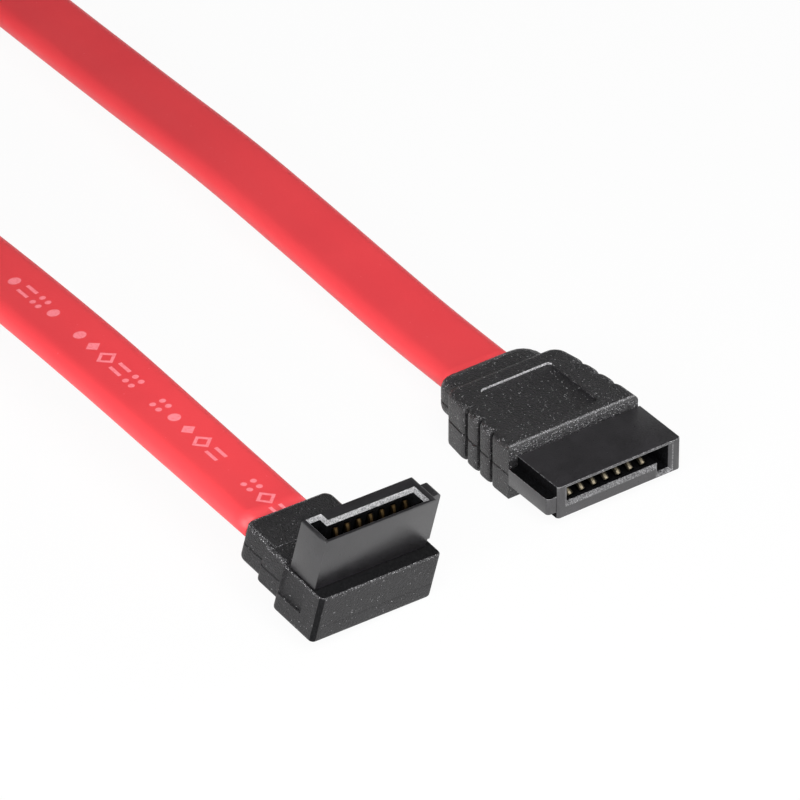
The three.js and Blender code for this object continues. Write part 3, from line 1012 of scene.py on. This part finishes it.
def softened_copy(node: str, name: str, edge: float) -> Piece:
    """Copy of a CAD node whose sharp edges are rounded and carry painted highlight.

    Args:
        node: the CAD node.
        name: the new piece's name.
        edge: radius of the rounding in metres.

    Returns:
        The object, at the origin.
    """
    mesh = bmesh.new()
    mesh.from_mesh(bpy.data.objects[node].data)
    bmesh.ops.remove_doubles(mesh, verts=list(mesh.verts), dist=1e-6)
    bmesh.ops.dissolve_limit(
        mesh,
        angle_limit=math.radians(FLAT_WITHIN),
        use_dissolve_boundaries=False,
        verts=list(mesh.verts),
        edges=list(mesh.edges),
        delimit={"NORMAL"},
    )
    layer = mesh.loops.layers.float.new(EDGE_HIGHLIGHT_LAYER)
    sharp = [
        one
        for one in mesh.edges
        if one.is_manifold and one.calc_face_angle_signed(0.0) > math.radians(SHARP_FROM)
    ]
    # Painted highlight: glints on the rounded edges.
    for face in bevel(mesh, sharp, edge, 2, "EDGES", True):
        for loop in face.loops:
            loop[layer] = 1.0
    shade_smooth(mesh, 50.0)
    return to_piece(mesh, name)


# The flat cable


@dataclass
class FlatCable:
    """Flat jacket that follows the stations from the straight plug to the angled one."""

    width: float = 0.007
    thickness: float = 0.0022
    waist: float = 0.00006
    rings_per_station: int = 8
    flat_steps: int = 8
    round_steps: int = 6
    centres: list[Vector] = field(default_factory=list)
    tangents: list[Vector] = field(default_factory=list)
    widths: list[Vector] = field(default_factory=list)

    def lay(self) -> None:
        """Find the centre, direction and width direction of each ring."""
        points = [Vector(station[:3]) for station in CABLE_STATIONS]
        points = [2 * points[0] - points[1], *points, 2 * points[-1] - points[-2]]
        turns = [station[3] for station in CABLE_STATIONS]
        last = len(CABLE_STATIONS) - 1
        for step in range(last * self.rings_per_station + 1):
            index = min(step // self.rings_per_station, last - 1)
            t = step / self.rings_per_station - index
            a, b, c, d = points[index : index + 4]
            slope, far = (c - a) / 2, (d - b) / 2
            bend = 3 * (c - b) - 2 * slope - far
            twist = 2 * (b - c) + slope + far
            self.centres.append(b + slope * t + bend * t**2 + twist * t**3)
            tangent = (slope + 2 * bend * t + 3 * twist * t**2).normalized()
            turn = turns[index] + (turns[index + 1] - turns[index]) * t
            level = Vector((0, 0, 1)).cross(tangent).normalized()
            self.tangents.append(tangent)
            self.widths.append(Matrix.Rotation(math.radians(turn), 3, tangent) @ level)

    def length(self) -> float:
        """Length of the centre line."""
        return sum((b - a).length for a, b in zip(self.centres, self.centres[1:]))

    def section(self) -> list[tuple[float, float, float]]:
        """Points round the section.

        Returns:
            Place along the width, place through the thickness, and distance round the section
            from the middle of the printed side.
        """
        radius = self.thickness / 2
        flat = self.width / 2 - radius
        shares = [step / self.flat_steps for step in range(self.flat_steps + 1)]
        lower = [
            (flat * share, self.waist * (0.5 + 0.5 * math.cos(math.pi * share)) - radius)
            for share in shares
        ]
        turns = [step / (2 * self.round_steps) for step in range(1, 2 * self.round_steps)]
        angles = [math.pi * (turn - 0.5) for turn in turns]
        arc = [(flat + radius * math.cos(angle), radius * math.sin(angle)) for angle in angles]
        upper = [(across, -through) for across, through in reversed(lower)]
        half = [*lower, *arc, *upper]
        distance, placed = 0.0, [(*half[0], 0.0)]
        for before, after in zip(half, half[1:]):
            distance += math.dist(before, after)
            placed.append((*after, distance))
        mirrored = [(-across, through, -far) for across, through, far in placed[-2:0:-1]]
        return placed + mirrored

    def build(self) -> Piece:
        """Jacket with its distance along and round it in its UV map, in metres.

        Returns:
            The object, at the origin.
        """
        self.lay()
        mesh = bmesh.new()
        uv = mesh.loops.layers.uv.new("UVMap")
        section = self.section()
        rings: list[list[bmesh.types.BMVert]] = []
        for centre, tangent, width in zip(self.centres, self.tangents, self.widths):
            normal = tangent.cross(width)
            rings.append([mesh.verts.new(centre + width * w + normal * n) for w, n, _ in section])
        girth = 2 * max(far for _, _, far in section)
        along = 0.0
        for index, (ring, after) in enumerate(zip(rings, rings[1:])):
            ahead = along + (self.centres[index + 1] - self.centres[index]).length
            for side, (_, _, start) in enumerate(section):
                other = (side + 1) % len(section)
                end = section[other][2]
                if end - start < -girth / 2:
                    end += girth
                face = mesh.faces.new((ring[side], after[side], after[other], ring[other]))
                face.smooth = True
                places = ((along, start), (ahead, start), (ahead, end), (along, end))
                for loop, place in zip(face.loops, places):
                    loop[uv].uv = place
            along = ahead
        for ring in (rings[0], rings[-1]):
            mesh.faces.new(ring)
        face_out(mesh)
        return to_piece(mesh, "flat_jacket")

    def dress(self, jacket: Piece, pieces_on_it: list[Piece]) -> None:
        """Args:
            jacket: the jacket.
            pieces_on_it: what the loose cable carries; not used.
        """
        dress_piece(jacket, "cable_jacket", Slot.JACKET, JACKET_FINISH)
        round(self.length(), 3)


# The plugs


@dataclass
class StraightPlug:
    """Straight plug: tapered grip with grooves and a recess, a neck, and its receptacle."""

    origin: Point = (9.35, -0.2012, 1.1)
    front: float = -5.9
    length: float = 10.1
    near_front: float = -6.6
    near_rear: float = -5.95
    far_front: float = 7.0
    far_rear: float = 5.9
    centre: float = 0.1
    bottom: float = -1.1
    height: float = 5.4
    top_edge: float = 0.5
    bottom_edge: float = 0.25
    far_rear_corner: float = 1.2
    near_rear_corner: float = 0.8
    groove_first: float = 2.85
    groove_pitch: float = 1.96
    groove_depth: float = 0.4
    groove_count: int = 3
    groove_overlap: float = 0.1
    swell: float = 0.12
    rib_side: float = 0.8
    rib_behind_groove: float = 0.3
    rib_half: float = 0.2
    parting: float = 1.5
    parting_width: float = 0.22
    parting_depth: float = 0.14
    recess_setback: float = 1.3
    recess_length: float = 7.1
    recess_half: float = 3.75
    recess_depth: float = 0.18
    recess_corner: float = 0.5
    recess_wall: float = 0.06
    neck_length: float = 3.0
    neck_half: float = 5.0
    neck_bottom: float = 0.0
    neck_height: float = 3.62
    neck_edge: float = 1.05
    neck_near_corner: float = 1.4
    neck_far_corner: float = 2.3
    # Painted highlight, as Tree.edges reads it: glints on edges, ribs and the front band; sheen on
    # crest, lit wall.
    upper_edge_glint: float = 0.3
    neck_glint: float = 0.4
    rib_glint: float = 1.0
    crest_sheen: float = 1.85
    brow_glint: float = 0.4
    band_glint: float = 0.62
    band_from: float = 2.9
    lit_wall_sheen: float = 2.4

    def place(self) -> Matrix:
        """From the plug's millimetres to the shared frame in metres."""
        return Matrix.Scale(MM, 4) @ Matrix.Translation(self.origin)

    def wall(self, x: float, near: bool) -> float:
        """Where a side wall of the grip stands.

        Args:
            x: place along the grip.
            near: whether it is the near wall, and not the far one.

        Returns:
            The wall's y there.
        """
        near_ends, far_ends = (self.near_front, self.near_rear), (self.far_front, self.far_rear)
        front, rear = near_ends if near else far_ends
        return front + (rear - front) * ((self.front - x) / self.length)

    def grooves(self) -> list[float]:
        """Places of the grooves along the side."""
        first = self.front - self.groove_first
        return [first - index * self.groove_pitch for index in range(self.groove_count)]

    def side_moves(self) -> list[tuple[float, float]]:
        """Form of the ribbed side, front to rear.

        Each rib curves in at its rear, then the groove drops, then the next rib starts sharply.

        Returns:
            Places along the side, and how far its wall stands out at each.
        """
        profile = (
            (0.75, self.swell),
            (0.45, self.swell * 0.6),
            (0.26, -0.05),
            (0.12, -0.22),
            (0.08, -self.groove_depth),
            (-0.07, -self.groove_depth),
            (-0.11, 0.0),
            (-0.3, self.swell * 0.7),
            (-0.6, self.swell),
        )
        return [(groove + along, move) for groove in self.grooves() for along, move in profile]

    def groove_sides(self, shape: Shape) -> None:
        """Cut the grooves into both sides and swell the ribs between them.

        Args:
            shape: the grip.
        """
        for x, _ in self.side_moves():
            shape.cut((x, 0, 0), (1, 0, 0))
        depth_in = self.top_edge + self.groove_overlap
        for x, move in self.side_moves():
            for vert in shape.mesh.verts:
                if abs(vert.co.x - x) > 1e-4:
                    continue
                if vert.co.y > self.wall(x, False) - depth_in:
                    vert.co.y += move
                elif vert.co.y < self.wall(x, True) + depth_in:
                    vert.co.y -= move

    def paint_front_highlight(self, shape: Shape) -> None:
        """Paint a pale sheen where the front's rounding looks up, glints a little below, and clear the
        rest.

        Args:
            shape: the grip.
        """
        shape.mesh.normal_update()
        for face in shape.mesh.faces:
            centre, normal = face.calc_center_median(), face.normal
            if normal.x > 0.25 and centre.x > self.front - self.top_edge:
                below = self.brow_glint if normal.z > 0.2 else 0.0
                shape.paint_edge_highlight([face], self.crest_sheen if normal.z > 0.6 else below)

    def paint_rib_glints(self, shape: Shape) -> None:
        """Paint glints on the ribs' tops behind the grooves, and on the upper band of the flat front.

        Args:
            shape: the grip.
        """
        shape.mesh.normal_update()
        rounding = self.bottom + self.height - self.top_edge
        for face in shape.mesh.faces:
            centre, normal = face.calc_center_median(), face.normal
            near, far = self.wall(centre.x, True), self.wall(centre.x, False)
            outside = not near + self.rib_side < centre.y < far - self.rib_side
            off = min(abs(centre.x - groove + self.rib_behind_groove) for groove in self.grooves())
            if outside and centre.z > rounding and normal.z > 0.1 and off < self.rib_half:
                shape.paint_edge_highlight([face], self.rib_glint)
            if normal.x > 0.9 and centre.x > self.front - 0.1 and centre.z > self.band_from:
                shape.paint_edge_highlight([face], self.band_glint)

    def build_grip(self) -> Piece:
        """Grip with its grooves, label recess, parting line and neck.

        Returns:
            The object, at the origin.
        """
        shape = Shape(self.upper_edge_glint)
        rear, crest = self.front - self.length, self.bottom + self.height
        outline = [
            (rear, self.near_rear, self.near_rear_corner),
            (self.front, self.near_front, 0.0),
            (self.front, self.far_front, 0.0),
            (rear, self.far_rear, self.far_rear_corner),
        ]
        top = shape.slab(outline, self.bottom, crest, self.bottom_edge, self.top_edge)
        self.paint_front_highlight(shape)
        self.sink_recess(shape, top)
        self.groove_sides(shape)
        shape.cut((0, 0, self.band_from), (0, 0, 1))
        self.paint_rib_glints(shape)
        neck_front = rear + self.neck_far_corner
        outline = rectangle(
            rear - self.neck_length,
            neck_front,
            self.centre - self.neck_half,
            self.centre + self.neck_half,
            (self.neck_near_corner, 0.0, 0.0, self.neck_far_corner),
        )
        neck_top = self.neck_bottom + self.neck_height
        neck = Shape(self.neck_glint)
        neck.slab(outline, self.neck_bottom, neck_top, self.neck_edge, self.neck_edge, 6)
        seam = (self.parting, self.parting_width, self.parting_depth)
        neck.line_round(*seam, lambda co: co.x < neck_front - 0.1)
        shape.line_round(*seam, lambda co: co.x < self.front - 0.1)
        shape.take(neck)
        return shape.finish("straight_grip", self.place())

    def sink_recess(self, shape: Shape, top: Face) -> None:
        """Sink the label recess into the grip.

        Args:
            shape: the grip.
            top: its top face.
        """
        mesh = shape.mesh
        rim = list(top.edges)
        height = top.verts[0].co.z
        bmesh.ops.delete(mesh, geom=[top], context="FACES_ONLY")
        front = self.front - self.recess_setback
        left, right = self.centre - self.recess_half, self.centre + self.recess_half
        outline = rectangle(front - self.recess_length, front, left, right, [self.recess_corner] * 4)
        recess = Shape()
        verts = [mesh.verts.new(vert.co.copy()) for vert in recess.plan(outline, height).verts]
        recess.mesh.free()
        edges = [mesh.edges.new((verts[index - 1], verts[index])) for index in range(len(verts))]
        bmesh.ops.triangle_fill(
            mesh, use_beauty=True, use_dissolve=False, edges=rim + edges, normal=(0, 0, 1)
        )
        for face in [one for one in mesh.faces if all(vert in verts for vert in one.verts)]:
            mesh.faces.remove(face)
        floor = mesh.faces.new(verts)
        face_out(mesh)
        walls = inset(mesh, [floor], self.recess_wall, -self.recess_depth)
        mesh.normal_update()
        # Painted highlight: glints on the recess walls, and a pale sheen on those that face the front.
        shape.paint_edge_highlight(walls, self.upper_edge_glint)
        shape.paint_edge_highlight([face for face in walls if face.normal.x > 0.4], self.lit_wall_sheen)

    def build(self) -> list[Piece]:
        """Grip and receptacle, at the origin."""
        receptacle = Receptacle(
            "straight_housing", "straight_shell", lead_in_sheen=1.7, side_lead_in_sheen=0.0, channel_painted_shade=True
        )
        return [self.build_grip(), receptacle.build(self.place())]

    def dress(self, grip: Piece, shell: Piece) -> None:
        """Give the pieces their finishes, and hide the CAD nodes they stand for.

        Args:
            grip: the grip.
            shell: the receptacle's housing.
        """
        dress_piece(grip, "straight_overmould", Slot.GRIP, GRIP_FINISH)
        dress_piece(shell, "straight_housing", Slot.HOUSING, STRAIGHT_HOUSING_FINISH, MOUTH_SHADE_FINISH)


@dataclass
class AngledPlug:
    """Angled plug: block, shoulder and neck, and a receptacle that stands on the block."""

    origin: Point = (8.680, -25.600, 11.235)
    turns: tuple[float, float, float] = (-6.33, 9.97, 4.75)
    top: float = -5.24
    block_rear: float = -0.8
    block_front: float = 4.5
    block_left: float = -6.82
    block_right: float = 6.42
    block_height: float = 4.84
    block_corner: float = 0.45
    block_near_corner: float = 0.55
    block_edges: tuple[float, float] = (0.4, 0.15)
    shoulder_length: float = 2.8
    shoulder_overlap: float = 0.8
    shoulder_left: float = -6.45
    shoulder_right: float = 6.0
    shoulder_height: float = 4.05
    shoulder_drop: float = 0.02
    shoulder_corner: float = 0.5
    shoulder_edges: tuple[float, float] = (0.35, 0.3)
    neck_length: float = 2.8
    neck_overlap: float = 1.2
    neck_half: float = 4.6
    neck_height: float = 3.8
    neck_corner: float = 0.8
    neck_edges: tuple[float, float] = (0.5, 0.3)
    exit_offset: float = -1.6
    ledge_from: float = 2.6
    corner_margin: float = 0.15
    panel_depth: float = 0.18
    panel_height: float = 2.96
    panel_setback: float = 2.04
    panel_rim: float = 0.07
    block_parting: float = -8.4
    block_seam: tuple[float, float] = (0.1, 0.025)
    shoulder_parting: float = -7.45
    neck_parting: float = -7.2
    seam: tuple[float, float] = (0.22, 0.14)

    def place(self) -> Matrix:
        """Place of the plug.

        Returns:
            From the plug's millimetres to the shared frame in metres.
        """
        roll, pitch, yaw = (math.radians(turn) for turn in self.turns)
        turned = Matrix.Rotation(yaw, 4, "Z") @ Matrix.Rotation(pitch, 4, "Y")
        turned = turned @ Matrix.Rotation(roll, 4, "X")
        return Matrix.Scale(MM, 4) @ Matrix.Translation(self.origin) @ turned

    def build_grip(self) -> Piece:
        """Grip of block, shoulder and neck, as one moulding.

        Returns:
            The object, at the origin.
        """
        radii = (self.block_corner, self.block_near_corner, self.block_corner, self.block_corner)
        ends = (self.block_rear, self.block_front, self.block_left, self.block_right)
        block = Shape()
        block.slab(rectangle(*ends, radii), self.top - self.block_height, self.top, *self.block_edges)
        block.line_round(self.block_parting, *self.block_seam, lambda co: co.x > self.block_front - 0.3)
        self.sink_panel(block)
        self.paint_ledge_shade(block)

        shoulder_rear = self.block_rear - self.shoulder_length
        radii = (self.shoulder_corner, 0.0, 0.0, self.shoulder_corner)
        front = self.block_rear + self.shoulder_overlap
        outline = rectangle(shoulder_rear, front, self.shoulder_left, self.shoulder_right, radii)
        levels = (self.top - self.shoulder_height, self.top - self.shoulder_drop)
        shoulder = Shape()
        shoulder.slab(outline, *levels, *self.shoulder_edges)
        shoulder.line_round(self.shoulder_parting, *self.seam, lambda co: co.x < self.block_rear)

        radii = (self.neck_corner, 0.0, 0.0, self.neck_corner)
        ends = (shoulder_rear - self.neck_length, shoulder_rear + self.neck_overlap)
        sides = (self.exit_offset - self.neck_half, self.exit_offset + self.neck_half)
        levels = (self.top - self.neck_height, self.top)
        neck = Shape()
        neck.slab(rectangle(*ends, *sides, radii), *levels, *self.neck_edges)
        neck.line_round(self.neck_parting, *self.seam, lambda co: co.x < shoulder_rear)

        shape = Shape()
        for part in (block, shoulder, neck):
            shape.take(part)
        return shape.finish("angled_grip", self.place())

    def paint_ledge_shade(self, block: Shape) -> None:
        """Give the ledge before the receptacle, and the near corner, the second material: painted shade.

        Args:
            block: the block.
        """
        block.cut((self.ledge_from, 0, 0), (1, 0, 0))
        block.mesh.normal_update()
        corner_from = self.block_front - self.block_near_corner - self.corner_margin
        for face in block.mesh.faces:
            centre, normal = face.calc_center_median(), face.normal
            on_ledge = normal.z > 0.99 and centre.x > self.ledge_from
            towards_corner = normal.x > 0.3 and normal.y < -0.3 and abs(normal.z) < 0.6
            # Painted shade on the ledge and the near corner.
            if on_ledge or (towards_corner and centre.x > corner_from):
                face.material_index = 1

    def sink_panel(self, block: Shape) -> None:
        """Sink the side panel into the block's left wall, above its lower lip.

        Args:
            block: the block.
        """
        panel_front = self.block_front - self.panel_setback
        panel_bottom = self.top - self.panel_height
        block.cut((0, 0, panel_bottom), (0, 0, 1))
        block.cut((panel_front, 0, 0), (1, 0, 0))
        block.mesh.normal_update()
        panel = []
        for face in block.mesh.faces:
            centre = face.calc_center_median()
            if face.normal.y < -0.9 and centre.z > panel_bottom and centre.x < panel_front:
                panel.append(face)
        inset(block.mesh, panel, self.panel_rim, -self.panel_depth)

    def build(self) -> list[Piece]:
        """Grip and receptacle, which is stood up so that its mouth faces the plug's z.

        Returns:
            The two objects, at the origin.
        """
        stood_up = Matrix(((0, 0, 1, 0), (0, -1, 0, 0), (1, 0, 0, 0), (0, 0, 0, 1)))
        receptacle = Receptacle("angled_housing", "angled_shell")
        return [self.build_grip(), receptacle.build(self.place() @ stood_up)]

    def dress(self, grip: Piece, shell: Piece) -> None:
        """Give the pieces their finishes, and hide the CAD nodes they stand for.

        Args:
            grip: the grip.
            shell: the receptacle's housing.
        """
        dress_piece(grip, "angled_overmould", Slot.GRIP, ANGLED_GRIP_FINISH, LEDGE_SHADE_FINISH)
        dress_piece(shell, "angled_housing", Slot.HOUSING, HOUSING_FINISH, MOUTH_SHADE_FINISH)


@dataclass
class HankTie:
    """Woven strap round the two runs of the folded cable, in millimetres, with z = 0 on the floor."""

    from_x: float = -155.0
    length: float = 7.0
    y: float = -14.4
    wall: float = 0.8
    half_inside: float = 2.85
    height: float = 9.5
    corner: float = 1.2
    edge: float = 0.15

    def build(self) -> Piece:
        """Strap as a band with an inside and an outside.

        Returns:
            The object, at the origin.
        """
        shape = Shape()
        half = self.half_inside + self.wall
        face = shape.plan(rectangle(-half, half, 0.0, self.height, [self.corner] * 4), 0.0, 6)
        band = inset(shape.mesh, [face], self.wall)
        bmesh.ops.delete(shape.mesh, geom=[face], context="FACES")
        grown = bmesh.ops.extrude_face_region(shape.mesh, geom=band, use_keep_orig=True)
        lifted = [item for item in grown["geom"] if isinstance(item, bmesh.types.BMVert)]
        bmesh.ops.translate(shape.mesh, vec=(0, 0, self.length), verts=lifted)
        face_out(shape.mesh)
        steep = math.radians(60)
        rims = [one for one in shape.mesh.edges if one.is_manifold and one.calc_face_angle(0.0) > steep]
        bevel(shape.mesh, rims, self.edge, 2, "EDGES")
        stand = Matrix.Rotation(math.pi / 2, 4, "Y") @ Matrix.Rotation(math.pi / 2, 4, "Z")
        place = Matrix.Scale(MM, 4) @ Matrix.Translation((self.from_x, self.y, 0.0)) @ stand
        return shape.finish("hank_strap", place, 40.0)

    def dress(self, strap: Piece) -> None:
        """Give the strap its finish, and hide the CAD node it stands for."""
        dress_piece(strap, "hank_tie", Slot.TIE, TIE_FINISH)


MADE: dict[Finish, Material] = {}


def made_once(finish: Finish) -> Material:
    """Material of a finish, made when it is first asked for.

    Args:
        finish: one of the finishes.

    Returns:
        The one material of that finish.
    """
    if finish not in MADE:
        MADE[finish] = finish.material()
    return MADE[finish]


def dress_piece(piece: Piece, node: str, slot: Slot, *finishes: Finish) -> None:
    """Give a piece its finishes and its body, and hide the CAD node it stands for.

    Args:
        piece: the piece.
        node: the CAD node.
        slot: its slot in the record; not used.
        *finishes: its finishes, in the order of its faces' material index.
    """
    for finish in finishes:
        piece.data.materials.append(made_once(finish))
    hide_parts(node)
    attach(piece, ROOT)


def dress_nodes(prefix: str, plating: Plating) -> None:
    """Give the contacts and wires of one plug, which keep their CAD shapes, their finishes.

    Args:
        prefix: the plug's name at the start of its nodes' names.
        plating: finish of its contacts.
    """
    finishes = {"contact": plating, "core": CORE_FINISH, "drain": WIRE_FINISH}
    for name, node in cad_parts.items():
        for kind, finish in finishes.items():
            if name.startswith(f"{prefix}_{kind}_"):
                node.data.materials.clear()
                node.data.materials.append(made_once(finish))


# Stage


@dataclass(frozen=True)
class Lamp:
    """Soft square lamp that faces the plugs, with its place and size in metres."""

    name: str
    place: Point
    size: float
    watts: float

    def build(self, aim: Vector) -> None:
        """Make the lamp.

        Args:
            aim: the point that it faces.
        """
        data = bpy.data.lights.new(self.name, "AREA")
        data.shape = "SQUARE"
        data.size = self.size
        data.energy = self.watts
        lamp = link(self.name, data)
        lamp.visible_camera = False
        lamp.location = self.place
        ahead = aim - Vector(self.place)
        lamp.rotation_euler = ahead.to_track_quat("-Z", "Y").to_euler()


LAMPS = (
    Lamp("top_lamp", (0.15, -0.06, 0.18), 0.18, 0.54),
    Lamp("side_lamp", (0.12, -0.26, 0.09), 0.19, 0.76),
    Lamp("front_lamp", (0.55, -0.12, 0.12), 0.3, 1.2),
    Lamp("far_lamp", (0.05, 0.55, 0.14), 0.35, 1.3),
)


@dataclass
class Studio:
    """Camera, lamps, world and floor."""

    azimuth: float = -35.453
    elevation: float = 34.913
    distance: float = 0.759474
    aside: float = -0.017947
    lift: float = 0.008147
    aim: Point = (0.00935, -0.000204, 0.0011)
    lens: float = 405.0
    sensor: float = 36.0
    clip: tuple[float, float] = (0.01, 10.0)
    middle: Point = (0.0, -0.012, 0.0)
    floor_colour: Colour = (0.82, 0.82, 0.82, 1.0)
    floor_half: float = 3.0
    floor_glow: float = 0.94
    floor_gloss: float = 0.85
    room_light: float = 0.13
    ceiling: float = 0.08
    sweep: tuple[float, float] = (0.0, 0.25)

    def camera(self) -> None:
        """Camera at the photograph's angle."""
        turn, rise = math.radians(self.azimuth), math.radians(self.elevation)
        back = Vector((math.cos(turn) * math.cos(rise), math.sin(turn) * math.cos(rise), math.sin(rise)))
        right = Vector((-math.sin(turn), math.cos(turn), 0.0))
        up = back.cross(right)
        data = bpy.data.cameras.new("photo_camera")
        data.lens = self.lens
        data.sensor_width = self.sensor
        data.clip_start, data.clip_end = self.clip
        turned = Matrix((right, up, back)).transposed().to_4x4()
        spot = Vector(self.aim) + back * self.distance + right * self.aside + up * self.lift
        camera = link("photo_camera", data)
        camera.matrix_world = Matrix.Translation(spot) @ turned
        bpy.context.scene.camera = camera

    def floor(self) -> None:
        """White floor that keeps the soft shadow of the cable."""
        mesh = bmesh.new()
        bmesh.ops.create_grid(mesh, x_segments=1, y_segments=1, size=self.floor_half)
        floor = to_piece(mesh, "floor")
        tree = Tree.of_material("white_floor")
        lit = tree.node("ShaderNodeBsdfDiffuse", None, {"Color": self.floor_colour})
        glow = tree.node("ShaderNodeEmission", None, {"Strength": 1.0})
        looked_at, mirrored = tree.seen()
        share = looked_at * self.floor_glow + mirrored * self.floor_gloss
        tree.finish(tree.node("ShaderNodeMixShader", None, {0: share, 1: lit, 2: glow}))
        floor.data.materials.append(tree.owner)

    def world(self) -> None:
        """White sweep round the floor under a dim ceiling, and a softer light from all round.

        The camera sees white everywhere. Gloss and glass see the sweep up to some way above the
        floor's level, and the ceiling above that.
        """
        tree = Tree(bpy.data.worlds.new("pale_room"))
        direction = tree.node("ShaderNodeTexCoord", None, None, "Generated")
        _, _, rise = tree.parts(direction)
        looked_at, mirrored = tree.seen()
        above = rise.step(*self.sweep) * mirrored
        white = tree.node("ShaderNodeBackground", None, {"Strength": 1.0})
        ceiling = tree.node("ShaderNodeBackground", None, {"Strength": self.ceiling})
        room = tree.node("ShaderNodeBackground", None, {"Strength": self.room_light})
        for shade in (white, ceiling, room):
            shade.socket.node.inputs["Color"].default_value = (1.0, 1.0, 1.0, 1.0)
        shown = tree.node("ShaderNodeMixShader", None, {0: above, 1: white, 2: ceiling})
        seen = looked_at + mirrored
        tree.finish(tree.node("ShaderNodeMixShader", None, {0: seen, 1: room, 2: shown}))
        bpy.context.scene.world = tree.owner

    def build(self) -> None:
        """Camera, floor, world and lamps."""
        self.camera()
        self.floor()
        self.world()
        for lamp in LAMPS:
            lamp.build(Vector(self.middle))
        bpy.context.scene.view_settings.view_transform = "Standard"


def main() -> None:
    """Build the stage, the cable, its plugs and its tie, and report each piece."""
    logging.basicConfig(level=logging.INFO, format="%(name)s: %(message)s")
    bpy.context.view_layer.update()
    Studio().build()

    cable = FlatCable()
    jacket = cable.build()
    log.info("%s: %.3f m long", jacket.name, cable.length())

    angled = AngledPlug()
    angled_pieces = angled.build()
    angled.dress(*angled_pieces)

    tie = HankTie()
    strap = tie.build()
    tie.dress(strap)

    inner = [node for name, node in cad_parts.items() if name.startswith("angled_")]
    inner = [node for node in inner if not node.hide_render]
    cable.dress(jacket, [*angled_pieces, strap, *inner])

    straight = StraightPlug()
    straight_pieces = straight.build()
    straight.dress(*straight_pieces)
    dress_nodes(
        "straight", contact_finish("straight", straight.place(), GOLD_PAINTED_LIT, STRAIGHT_HIGHLIGHT_LEVEL, 0)
    )
    dress_nodes("angled", contact_finish("angled", angled.place(), GOLD_PAINTED_SHADE, ANGLED_HIGHLIGHT_LEVEL, 2))
    for piece in (jacket, strap, *angled_pieces, *straight_pieces):
        log.info("%s: %d faces", piece.name, len(piece.data.polygons))

    bpy.context.view_layer.update()


if __name__ == "__main__":
    main()
